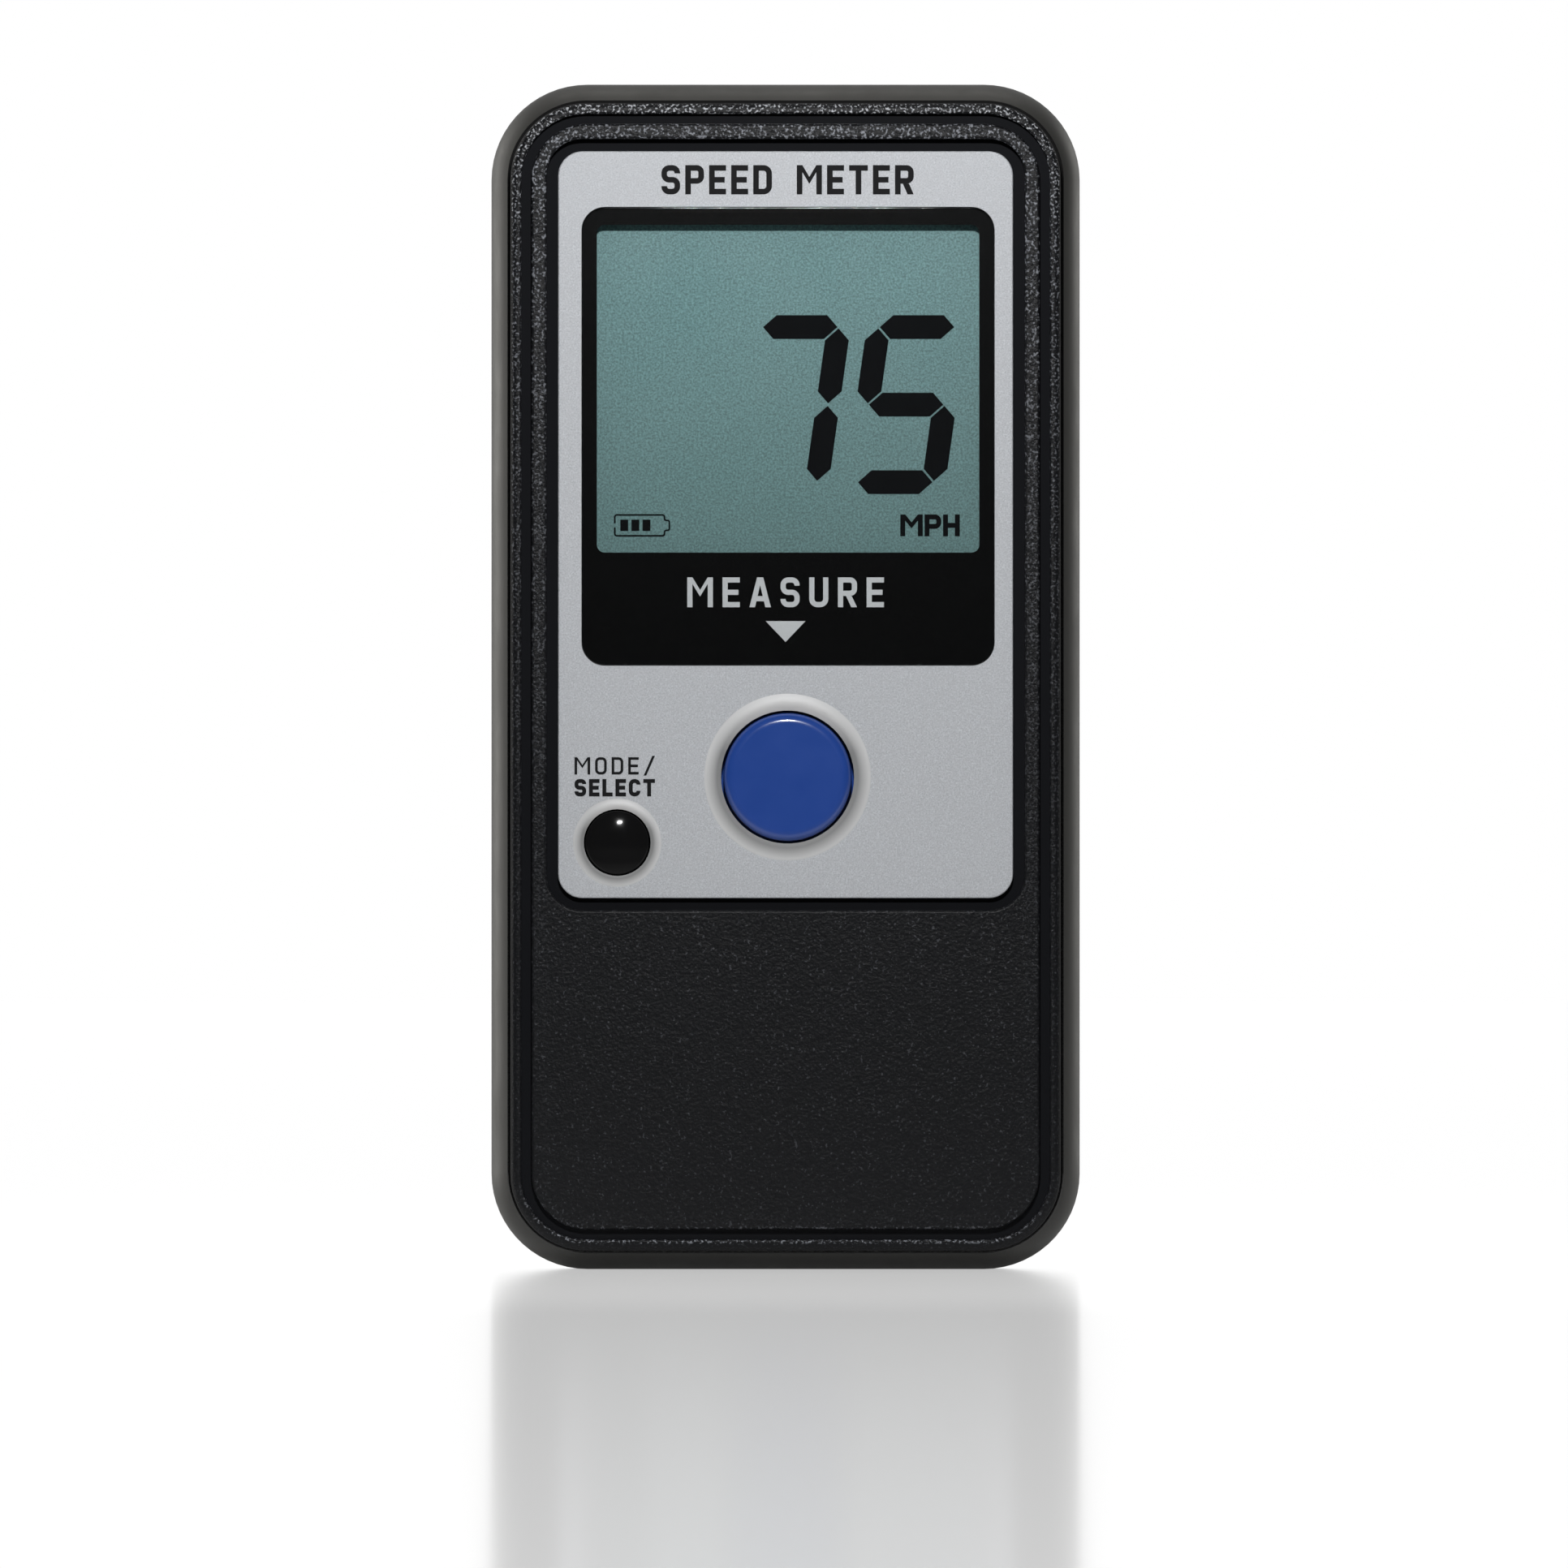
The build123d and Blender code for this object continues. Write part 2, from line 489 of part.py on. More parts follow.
def rf_shield():
    """A drawn steel can over the radar chip, with a row of vent holes."""
    front, sheet, corner = ANTENNA_FRONT - SHIELD_HEIGHT, SHIELD_SHEET, 1.0
    inner = (SHIELD_SIZE[0] - 2 * sheet, SHIELD_SIZE[1] - 2 * sheet)
    can = prism(rounded(SHIELD_SIZE, corner, 0, SHIELD_Z), front, ANTENNA_FRONT)
    hollow = rounded(inner, corner - sheet, 0, SHIELD_Z)
    can -= prism(hollow, front + sheet, ANTENNA_FRONT + 1)
    for x in (-9, -3, 3, 9):
        can -= peg((x, SHIELD_Z + 6.5), 0.9, front - 1, front + 1)
    return can


# ---- battery power -----------------------------------------------------------------------
def cell(side):
    """One AAA cell: its steel can with the raised terminal, and the jacket shrunk round it."""
    can_r, jacket_inset = CELL_R - 0.15, 0.7
    up = side > 0  # the right-hand cell stands with its raised terminal at the top
    low = BAY_HIGH - CONTACT - CELL_LENGTH if up else BAY_LOW + CONTACT
    body_low = low if up else low + NUB_LENGTH
    body_high = body_low + CELL_LENGTH - NUB_LENGTH
    centre = (side * CELL_X, CELL_Y)

    def rod(radius, z_low, z_high):
        return Pos(centre[0], centre[1], (z_low + z_high) / 2) * Cylinder(radius, z_high - z_low)

    can = rod(can_r, body_low, body_high)
    can = fillet(can.edges().filter_by(GeomType.CIRCLE), 0.5)
    nub_low = body_high - JOIN if up else low
    can += rod(NUB_R, nub_low, nub_low + NUB_LENGTH + JOIN)
    jacket = rod(CELL_R, body_low + jacket_inset, body_high - jacket_inset)
    jacket -= rod(can_r, low, low + CELL_LENGTH)
    return can, jacket


def bridge_contact():
    plate = block((-10.6, 10.6), (-1.5, 6.5), (BAY_LOW, BAY_LOW + CONTACT))
    return plate - block((-0.8, 0.8), (1.5, 4.5), (BAY_LOW - 1, BAY_LOW + 1))


def terminal(side):
    """A contact plate at the upper end of the bay, with a tail through to the main board."""
    low, high = BAY_HIGH - CONTACT, BAY_HIGH
    span = sorted((side * 0.8, side * 10.4))
    plate = block(span, (-1.5, 7.5), (low, high))
    tail = block((side * CELL_X - 1, side * CELL_X + 1), (BOARD_FRONT - 0.3, -1.4), (low, high))
    return plate + tail


def contact_spring(side):
    """A conical spring: wide on its plate and narrow where it presses on the cell."""
    wire, wide, narrow, turns = 0.6, 3.9, 2.2, 3.5
    height = BAY_HIGH - BAY_LOW - 2 * CONTACT - CELL_LENGTH - wire - 2 * EASE
    steps = 49
    points = []
    for step in range(steps + 1):
        part = step / steps
        radius = wide + (narrow - wide) * part
        turn = 2 * math.pi * turns * part
        points.append(Vector(radius * math.cos(turn), radius * math.sin(turn), height * part))
    section = Plane(origin=points[0], z_dir=points[1] - points[0]) * Circle(wire / 2)
    spring = sweep(section, Polyline(*points), transition=Transition.RIGHT)
    lift = wire / 2 + EASE
    if side > 0:
        return Pos(side * CELL_X, CELL_Y, BAY_LOW + CONTACT + lift) * spring
    return Pos(side * CELL_X, CELL_Y, BAY_HIGH - CONTACT - lift) * Rot(180, 0, 0) * spring


def battery_door():
    """The door: two hooks at its hinge end, and a snap tongue with grip ribs at the other."""
    door_z, door_height = (DOOR_LOW + DOOR_HIGH) / 2, DOOR_HIGH - DOOR_LOW
    door = prism(rounded((2 * DOOR_HALF, door_height), DOOR_CORNER, 0, door_z), DOOR_INNER, BACK)
    for side in (-1, 1):
        foot = (side * TAB_X - TAB_WIDTH / 2, side * TAB_X + TAB_WIDTH / 2)
        door += block(foot, (7.6, 8.5), (DOOR_LOW - 1.5, DOOR_LOW + 1.2))
        door += block(foot, (7.6, DOOR_INNER + 0.1), (DOOR_LOW + 0.2, DOOR_LOW + 1.2))
        slit = rectangle(0.7, 10.0, side * 5.5, DOOR_HIGH - 5.0)
        door -= prism(slit, DOOR_INNER - 1, BACK + 1)
    thumb = Pos(0, BACK + 16.2, DOOR_HIGH - 12.5) * Sphere(17.0)
    door -= thumb
    for row in range(3):
        z = DOOR_HIGH - 1.6 - 1.7 * row
        door -= block((-4.2, 4.2), (BACK - 0.45, BACK + 1), (z - 0.35, z + 0.35))
    return door


# ---- fasteners and label -----------------------------------------------------------------
def screw(at, seat, length, shank, head, head_height):
    """A pan-head screw driven from the rear, with a cross recess."""
    body = peg(at, shank, seat - length, seat)
    top = peg(at, head, seat, seat + head_height)
    top = fillet(edges_at(top, seat + head_height), head_height * 0.4)
    for size in ((head * 1.1, head * 0.3), (head * 0.3, head * 1.1)):
        top -= prism(rectangle(*size, *at), seat + head_height * 0.4, seat + head_height + 1)
    return body + top


def antenna_screw(at):
    """The same screw the other way round: driven from inside into the rear shell."""
    turned_screw = Rot(0, 0, 180) * screw((0, 0), 0, *ANTENNA_SCREW)
    return Pos(at[0], ANTENNA_FRONT, at[1]) * turned_screw


def rear_label():
    front = BACK - LABEL_DEPTH
    return prism(rounded(LABEL_SIZE, LABEL_CORNER, 0, LABEL_Z), front, front + LABEL_FILM)


# ---- the assembly ------------------------------------------------------------------------
PARTS["rear_shell"] = open_bay(rear_shell())
PARTS["front_cover"] = soften_front(front_cover())
PARTS["fascia_plate"] = fascia_plate()
PARTS["fascia_adhesive"] = fascia_adhesive()
PARTS["display_lens"] = display_lens()
PARTS["display_mask"] = view_frame(RECESS_FLOOR - 2 * FILM, RECESS_FLOOR - FILM)
PARTS["lens_adhesive"] = view_frame(RECESS_FLOOR - FILM, RECESS_FLOOR, 0.6)
PARTS["measure_button"] = measure_button()
PARTS["mode_button"] = mode_button()
switch("measure", MEASURE_AT)
switch("mode", MODE_AT)
PARTS["lcd_front_polarizer"] = prism(
    rectangle(VIEW_SIZE[0] + 2, VIEW_SIZE[1] + 2, DISPLAY_X, VIEW_Z), GLASS_FRONT - 0.2, GLASS_FRONT
)
PARTS["lcd_front_glass"] = glass(FRONT_GLASS_HEIGHT, GLASS_FRONT, GLASS_MIDDLE)
PARTS["lcd_rear_glass"] = glass(REAR_GLASS_HEIGHT, GLASS_MIDDLE, GLASS_BACK)
PARTS["lcd_reflector"] = glass(REAR_GLASS_HEIGHT - 1, GLASS_BACK, GLASS_BACK + 0.2)
PARTS["lcd_frame"] = lcd_frame()
PARTS["lcd_gasket"] = lcd_gasket()
PARTS["zebra_strip_upper"] = zebra_strip(1)
PARTS["zebra_strip_lower"] = zebra_strip(-1)
PARTS["main_board"] = main_board()
PARTS["processor_chip"] = processor_chip()
PARTS["processor_leads"] = processor_leads()
PARTS["board_capacitors"] = board_capacitors()
PARTS["power_inductor"] = power_inductor()
PARTS["crystal_can"] = crystal_can()
PARTS["board_socket"] = board_socket()
PARTS["antenna_header"] = antenna_header()
PARTS["header_pins"] = group(
    prism(rectangle(PIN_SIDE, PIN_SIDE, *at), PIN_FRONT, ANTENNA_FRONT) for at in pin_places()
)
PARTS["antenna_board"] = antenna_board()
PARTS["antenna_patches"] = antenna_patches()
PARTS["rf_shield"] = rf_shield()
PARTS["radar_chip"] = prism(rounded((5, 5), 0.2, 0, SHIELD_Z), ANTENNA_FRONT - 0.9, ANTENNA_FRONT)
for label, cell_side in (("left", -1), ("right", 1)):
    PARTS[f"battery_{label}_can"], PARTS[f"battery_{label}_jacket"] = cell(cell_side)
PARTS["bridge_contact"] = bridge_contact()
PARTS["positive_terminal"] = terminal(1)
PARTS["negative_terminal"] = terminal(-1)
PARTS["bridge_spring"] = contact_spring(1)
PARTS["negative_spring"] = contact_spring(-1)
PARTS["battery_door"] = battery_door()
PARTS["housing_screws"] = group(screw(at, HEAD_SEAT, *HOUSING_SCREW) for at in HOUSING_SCREWS)
PARTS["board_screws"] = group(screw(at, BOARD_BACK, *BOARD_SCREW) for at in BOARD_SCREWS)
PARTS["antenna_screws"] = group(antenna_screw(at) for at in ANTENNA_SCREWS)
PARTS["rear_label"] = rear_label()

os.makedirs("parts", exist_ok=True)
for node, shape in PARTS.items():
    export_step(shape, f"parts/{node}.step")
print(len(PARTS), "nodes")
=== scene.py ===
import math

import bmesh
import bpy
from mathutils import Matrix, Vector


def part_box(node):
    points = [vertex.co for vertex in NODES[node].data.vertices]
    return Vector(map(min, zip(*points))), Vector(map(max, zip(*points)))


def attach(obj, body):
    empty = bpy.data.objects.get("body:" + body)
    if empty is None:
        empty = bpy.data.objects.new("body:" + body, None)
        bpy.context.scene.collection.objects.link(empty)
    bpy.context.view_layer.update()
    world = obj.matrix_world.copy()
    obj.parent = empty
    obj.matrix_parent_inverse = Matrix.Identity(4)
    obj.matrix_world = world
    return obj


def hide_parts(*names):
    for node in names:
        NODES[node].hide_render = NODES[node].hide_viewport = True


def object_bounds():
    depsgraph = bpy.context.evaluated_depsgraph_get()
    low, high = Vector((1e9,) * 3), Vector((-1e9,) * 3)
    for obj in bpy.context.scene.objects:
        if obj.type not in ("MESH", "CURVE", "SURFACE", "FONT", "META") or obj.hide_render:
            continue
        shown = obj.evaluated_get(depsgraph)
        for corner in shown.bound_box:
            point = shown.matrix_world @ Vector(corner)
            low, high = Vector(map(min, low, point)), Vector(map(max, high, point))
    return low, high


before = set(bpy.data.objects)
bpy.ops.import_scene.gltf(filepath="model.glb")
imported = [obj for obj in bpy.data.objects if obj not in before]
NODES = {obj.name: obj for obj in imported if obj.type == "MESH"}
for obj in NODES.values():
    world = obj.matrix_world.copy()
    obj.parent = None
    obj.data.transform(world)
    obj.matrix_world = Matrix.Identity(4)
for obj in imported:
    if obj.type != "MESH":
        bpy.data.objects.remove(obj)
cad_low, cad_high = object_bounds()

MM = 0.001
CORNER = 9.65 * MM  # corner radius of the front outline
COLLARS = {"measure_button": (6.7 * MM, 1.65 * MM), "mode_button": (3.36 * MM, 1.05 * MM)}  # hole, width
LCD_SHADED_FOOT, LCD_LIT_TOP = (0.118, 0.224, 0.224), (0.152, 0.292, 0.298)  # display colour, foot and top; the foot is painted darker as painted shade of light falling off from above


# ---- material helpers --------------------------------------------------------------------
def scaled(color, share):
    return tuple(channel * share for channel in color)


def map_range(tree, value, low, high, to_low, to_high):
    """A clamped ramp from one span of numbers to another."""
    made = tree.nodes.new("ShaderNodeMapRange")
    for key, number in (("From Min", low), ("From Max", high), ("To Min", to_low), ("To Max", to_high)):
        made.inputs[key].default_value = number
    tree.links.new(value, made.inputs["Value"])
    return made


class Shader:
    """A Principled material whose inputs can be fed from procedural nodes."""

    def __init__(self, name, color, roughness=0.5, metallic=0.0, **values):
        self.material = bpy.data.materials.new(name)
        self.material.use_nodes = True
        self.tree = self.material.node_tree
        self.bsdf = self.tree.nodes["Principled BSDF"]
        self.output = self.tree.nodes["Material Output"]
        self.coords = self.node("ShaderNodeTexCoord").outputs["Object"]
        self.set("Base Color", (*color, 1.0))
        self.set("Roughness", roughness)
        self.set("Metallic", metallic)
        for key, value in values.items():
            self.set(key.replace("_", " "), value)

    def node(self, kind, **values):
        made = self.tree.nodes.new(kind)
        for key, value in values.items():
            setattr(made, key, value)
        return made

    def set(self, socket, value):
        self.bsdf.inputs[socket].default_value = value

    def link(self, source, target):
        self.tree.links.new(source, target)

    def stretched(self, scale):
        """Object coordinates stretched by a factor along each axis."""
        mapping = self.node("ShaderNodeMapping")
        mapping.inputs["Scale"].default_value = scale
        self.link(self.coords, mapping.inputs["Vector"])
        return mapping.outputs["Vector"]

    def noise(self, size_mm, detail=2.0, rough=0.5, vector=None):
        """Noise whose blotches are about size_mm across."""
        made = self.node("ShaderNodeTexNoise")
        made.inputs["Scale"].default_value = 1.0 / (size_mm * MM)
        made.inputs["Detail"].default_value = detail
        made.inputs["Roughness"].default_value = rough
        self.link(vector or self.coords, made.inputs["Vector"])
        return made.outputs["Fac"]

    def cells(self, size_mm, feature="F1"):
        """Distance to the nearest of points about size_mm apart."""
        made = self.node("ShaderNodeTexVoronoi", feature=feature)
        made.inputs["Scale"].default_value = 1.0 / (size_mm * MM)
        self.link(self.coords, made.inputs["Vector"])
        return made.outputs["Distance"]

    def axis(self, name):
        """One object coordinate in metres."""
        split = self.node("ShaderNodeSeparateXYZ")
        self.link(self.coords, split.inputs[0])
        return split.outputs[name]

    def remap(self, value, low, high, to_low, to_high, smooth=False):
        """A clamped ramp, straight or eased at both ends."""
        made = map_range(self.tree, value, low, high, to_low, to_high)
        if smooth:
            made.interpolation_type = "SMOOTHSTEP"
        return made.outputs["Result"]

    def math(self, operation, first, second):
        """One operation on two values, each a number or an output."""
        made = self.node("ShaderNodeMath", operation=operation)
        for index, value in enumerate((first, second)):
            if isinstance(value, (int, float)):
                made.inputs[index].default_value = value
            else:
                self.link(value, made.inputs[index])
        return made.outputs[0]

    def mix(self, factor, first, second):
        """Mixes two colours, each a triple or an output, by an output."""
        made = self.node("ShaderNodeMix", data_type="RGBA")
        for name, value in (("A", first), ("B", second)):
            socket = [s for s in made.inputs if s.name == name and s.type == "RGBA"][0]
            if isinstance(value, tuple):
                socket.default_value = (*value, 1.0)
            else:
                self.link(value, socket)
        self.link(factor, made.inputs[0])
        return [s for s in made.outputs if s.type == "RGBA"][0]

    def varied(self, factor, color, spread):
        """A colour that varies by a share either way."""
        return self.mix(factor, scaled(color, 1 - spread), scaled(color, 1 + spread))

    def near(self, value, place, full, none, most=1.0):
        """A band round a place: most up to a distance of full, nothing beyond none."""
        away = self.math("ABSOLUTE", self.math("SUBTRACT", value, place), 0.0)
        return self.remap(away, full, none, most, 0.0)

    def pebbles(self, size_mm):
        """The relief of an eroded mould."""
        return self.math("ADD", self.cells(size_mm, "SMOOTH_F1"), self.noise(size_mm * 0.5, 3.0, 0.6))

    def clouds(self):
        """Wide clouds, and a mixture of them with marks drawn out along Z."""
        cloud = self.noise(9.0, 4.0, 0.6)
        smear = self.noise(2.2, 3.0, 0.65, self.stretched((1.0, 1.0, 0.35)))
        both = self.math("ADD", self.math("MULTIPLY", cloud, 0.5), self.math("MULTIPLY", smear, 0.5))
        return cloud, both

    def color(self, output):
        self.link(output, self.bsdf.inputs["Base Color"])

    def roughness(self, output):
        self.link(output, self.bsdf.inputs["Roughness"])

    def bump(self, height, distance_mm):
        made = self.node("ShaderNodeBump")
        made.inputs["Distance"].default_value = distance_mm * MM
        made.inputs["Strength"].default_value = 1.0
        self.link(height, made.inputs["Height"])
        self.link(made.outputs["Normal"], self.bsdf.inputs["Normal"])


def spark_plastic(name, color, grain, depth, rough, specular=0.5):
    """Moulded plastic with the pebbled grain of an eroded tool."""
    shader = Shader(name, color, rough, 0.0, Specular_IOR_Level=specular)
    shader.bump(shader.pebbles(grain), depth)
    cloud = shader.noise(14.0, 3.0)
    shader.roughness(shader.remap(cloud, 0.3, 0.7, rough - 0.03, rough + 0.03))
    shader.color(shader.varied(cloud, color, 0.12))
    return shader.material


def outline_inset(shader):
    """How far in from the front outline a point lies, in metres."""
    reach = []
    for name, middle, half in (("X", 0.0, cad_high.x), ("Z", cad_high.z / 2, cad_high.z / 2)):
        offset = shader.math("ABSOLUTE", shader.math("SUBTRACT", shader.axis(name), middle), 0.0)
        beyond = shader.math("MAXIMUM", shader.math("SUBTRACT", offset, half - CORNER), 0.0)
        reach.append(shader.math("POWER", beyond, 2.0))
    return shader.math("SUBTRACT", CORNER, shader.math("SQRT", shader.math("ADD", *reach), 0.0))


def cover_material():
    """The front moulding: grain on its raised faces with painted glints, and smooth grooves between them
    that are painted lighter as painted fill light.
    """
    color = (0.0076, 0.008, 0.0093)
    shader = Shader("textured_cover", color, 0.36, 0.0, Specular_IOR_Level=0.16)
    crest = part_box("front_cover")[0].y
    raised = shader.remap(shader.axis("Y"), crest + 0.5 * MM, crest + 0.3 * MM, 0.0, 1.0)
    shader.bump(shader.math("MULTIPLY", shader.pebbles(0.28), raised), 0.045)

    # painted glints: bright flecks stand in for the grain catching light. How thickly they lie: most on
    # the rim and the strip inside it, more towards the top as painted light from above, and on two fine
    # lines along the foot as painted light bounced up from the floor
    inset, height = outline_inset(shader), shader.axis("Z")
    glint_density = shader.remap(inset, 5.5 * MM, 6.1 * MM, 1.0, 0.12)
    top_light_rise = shader.math("POWER", shader.remap(height, 0.02, 0.112, 0.3, 1.0), 3.0)
    glint_density = shader.math("MULTIPLY", glint_density, top_light_rise)
    rim_glint_line = shader.near(inset, 2.92 * MM, 0.1 * MM, 0.35 * MM, 0.95)
    plateau_glint_line = shader.near(inset, 4.15 * MM, 0.1 * MM, 0.35 * MM, 0.4)
    lines = shader.math("MAXIMUM", rim_glint_line, plateau_glint_line)
    floor_bounce_at_foot = shader.remap(height, 3.0 * MM, 9.0 * MM, 1.0, 0.0)
    glint_density = shader.math("MAXIMUM", glint_density, shader.math("MULTIPLY", lines, floor_bounce_at_foot))

    # painted glints: thick flecks, and sparse faint ones everywhere, fewer towards the foot as painted
    # shade
    thick = shader.math("MULTIPLY", shader.remap(shader.noise(0.26, 1.0), 0.54, 0.72, 0.0, 1.0), glint_density)
    sparse_glints = shader.remap(shader.noise(0.3, 1.0), 0.66, 0.74, 0.0, 0.17)
    sparse_glints = shader.math("MULTIPLY", sparse_glints, shader.remap(height, 0.0, 0.035, 0.55, 1.0))
    spots = shader.math("MULTIPLY", shader.math("MAXIMUM", thick, sparse_glints), raised)

    on_rim = shader.remap(inset, 3.0 * MM, 3.3 * MM, 1.0, 0.0)
    # painted highlight: the flecks on the rim along the top are painted brighter, as if lit from above
    top_rim_highlight = shader.math("MULTIPLY", on_rim, shader.remap(height, 0.104, 0.114, 0.0, 1.0))
    glint_color = shader.mix(top_rim_highlight, (0.295, 0.31, 0.345), (0.58, 0.6, 0.64))
    tint = shader.mix(spots, shader.varied(shader.noise(14.0, 3.0), color, 0.1), glint_color)
    # painted fill light: the smooth grooves and recesses between the raised faces are painted 1.45 times
    # lighter than the faces, standing in for light that reaches into them
    shader.color(shader.mix(raised, scaled(color, 1.45), tint))
    flank = shader.remap(inset, 2.05 * MM, 2.4 * MM, 0.85, 0.0)  # the rim's outer side is matt
    shader.roughness(shader.math("MAXIMUM", flank, shader.remap(raised, 0.0, 1.0, 0.14, 0.33)))
    return shader.material


def casing_material():
    """The smooth shell; the narrow ledge along its parting line is painted dark, as painted shade in the
    shadow gap.
    """
    color = (0.0315, 0.031, 0.0285)
    shader = Shader("smooth_casing", color, 0.46)
    cloud, both = shader.clouds()
    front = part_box("rear_shell")[0].y
    off_shaded_ledge = shader.remap(shader.axis("Y"), front + 0.04 * MM, front + 0.12 * MM, 0.0, 1.0)
    rough = shader.remap(both, 0.3, 0.7, 0.40, 0.54)
    shader.roughness(shader.math("ADD", shader.math("MULTIPLY", rough, off_shaded_ledge), 0.06))
    shader.bump(shader.noise(0.25, 2.0), 0.004)
    # painted shade: the ledge along the parting line is painted near black
    shader.color(shader.mix(off_shaded_ledge, (0.012, 0.012, 0.012), shader.varied(cloud, color, 0.1)))
    return shader.material


def satin_plastic(name, color, rough, ripple=0.004):
    """Smooth moulded plastic with faint handling marks."""
    shader = Shader(name, color, rough)
    cloud, both = shader.clouds()
    shader.roughness(shader.remap(both, 0.3, 0.7, rough - 0.06, rough + 0.08))
    shader.bump(shader.noise(0.25, 2.0), ripple)
    shader.color(shader.varied(cloud, color, 0.1))
    return shader.material


def plated(name, color, rough, brushed=(1.0, 1.0, 1.0), ripple=0.002):
    """Bare or plated metal with fine streaks."""
    shader = Shader(name, color, rough, 1.0)
    streak = shader.noise(0.5, 3.0, 0.6, shader.stretched(brushed))
    cloud = shader.noise(4.0, 3.0)
    shader.roughness(shader.remap(streak, 0.3, 0.7, rough - 0.07, rough + 0.1))
    shader.bump(streak, ripple)
    shader.color(shader.mix(cloud, scaled(color, 0.85), color))
    return shader.material


def clear_sheet(name, tint, gloss, rough):
    """A thin clear sheet: light passes straight through, and a little is mirrored."""
    shader = Shader(name, tint, rough)
    through = shader.node("ShaderNodeBsdfTransparent")
    through.inputs["Color"].default_value = (*tint, 1.0)
    mirror = shader.node("ShaderNodeBsdfGlossy")
    mirror.inputs["Color"].default_value = (1.0, 1.0, 1.0, 1.0)
    smear = shader.noise(3.0, 4.0, 0.6)
    shader.link(shader.remap(smear, 0.3, 0.7, rough, rough + 0.05), mirror.inputs["Roughness"])
    fresnel = shader.node("ShaderNodeFresnel")
    fresnel.inputs["IOR"].default_value = 1.49
    factor = shader.math("MULTIPLY", fresnel.outputs[0], gloss)
    mixed = shader.node("ShaderNodeMixShader")
    shader.link(factor, mixed.inputs[0])
    shader.link(through.outputs[0], mixed.inputs[1])
    shader.link(mirror.outputs[0], mixed.inputs[2])
    shader.link(mixed.outputs[0], shader.output.inputs["Surface"])
    shader.tree.nodes.remove(shader.bsdf)
    return shader.material


# ---- materials ---------------------------------------------------------------------------
def silver_material():
    """Satin silver print; the raised collars round the keys are painted whiter, with painted light and
    shade on them.
    """
    shader = Shader("silver_print", (0.53, 0.545, 0.56), 0.5, 0.12)
    flake = shader.noise(0.16, 2.0, 0.75)
    blotch = shader.noise(0.5, 3.0, 0.7)
    grain = shader.remap(flake, 0.34, 0.66, 0.0, 1.0)
    base = shader.mix(grain, (0.40, 0.42, 0.445), (0.63, 0.65, 0.68))
    base = shader.mix(shader.remap(blotch, 0.38, 0.62, 0.0, 0.5), base, (0.49, 0.50, 0.525))
    for key, (hole, width) in COLLARS.items():
        low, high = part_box(key)
        # painted shade and light: the collar's inner side is painted darker than its crest, except above
        # the key, where it is painted lighter as if lit from above
        across = shader.math("SUBTRACT", shader.axis("X"), (low.x + high.x) / 2)
        along = shader.math("SUBTRACT", shader.axis("Z"), (low.z + high.z) / 2)
        squares = shader.math("ADD", shader.math("POWER", across, 2.0), shader.math("POWER", along, 2.0))
        radius = shader.math("SQRT", squares, 0.0)
        rim = shader.remap(radius, hole + 0.25 * width, hole + 0.9 * width, 0.0, 1.0)
        lit_from_above = shader.remap(shader.math("DIVIDE", along, radius), 0.35, 0.95, 0.0, 1.0)
        inner = shader.mix(lit_from_above, (0.245, 0.248, 0.25), (0.56, 0.56, 0.56))
        crest_light = shader.mix(lit_from_above, (0.70, 0.705, 0.71), (0.60, 0.605, 0.61))
        collar_light_and_shade = shader.mix(rim, inner, crest_light)
        inside = shader.remap(radius, hole + width, hole + width + 0.08 * MM, 1.0, 0.0)
        base = shader.mix(inside, base, collar_light_and_shade)
    shader.color(base)
    shader.roughness(shader.remap(flake, 0.3, 0.7, 0.46, 0.58))
    shader.bump(shader.noise(0.09, 2.0), 0.003)
    return shader.material


def lcd_material(name, strength):
    """The grainy grey-green of a reflective liquid crystal display, painted darker towards its foot as
    painted shade of light falling off from above.
    """
    shader = Shader(name, (0.2, 0.36, 0.36), 0.5)
    low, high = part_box("lcd_front_polarizer")
    lit_towards_top = shader.remap(shader.axis("Z"), low.z, high.z, 0.0, 1.0, True)
    grain = shader.remap(shader.noise(0.22, 2.0, 0.75), 0.36, 0.66, 0.0, 1.0)
    cloud = shader.noise(12.0, 3.0)
    dark, light = [
        shader.mix(lit_towards_top, scaled(LCD_SHADED_FOOT, strength * share), scaled(LCD_LIT_TOP, strength * share))
        for share in (0.7, 1.38)
    ]
    shader.color(shader.mix(grain, dark, light))
    shader.roughness(shader.remap(cloud, 0.3, 0.7, 0.45, 0.6))
    shader.bump(grain, 0.003)
    return shader.material


def glass_edge_material():
    """Display glass backed by its printed electrodes: dark, green at the cut edges."""
    shader = Shader("display_glass", (0.05, 0.12, 0.10), 0.06, 0.0, Coat_Weight=0.5)
    cloud = shader.noise(5.0, 3.0)
    shader.color(shader.mix(cloud, (0.035, 0.10, 0.08), (0.07, 0.16, 0.13)))
    shader.roughness(shader.remap(cloud, 0.3, 0.7, 0.04, 0.1))
    return shader.material


def key_material(name, color, rough, coat, specular):
    """Glossy moulded key."""
    gloss = {"Coat_Weight": coat, "Coat_Roughness": 0.12, "Specular_IOR_Level": specular}
    shader = Shader(name, color, rough, 0.0, **gloss)
    cloud = shader.noise(3.0, 4.0, 0.6)
    shader.roughness(shader.remap(cloud, 0.3, 0.7, rough - 0.03, rough + 0.05))
    shader.color(shader.varied(cloud, color, 0.07))
    shader.bump(shader.noise(0.8, 2.0), 0.0025)
    return shader.material


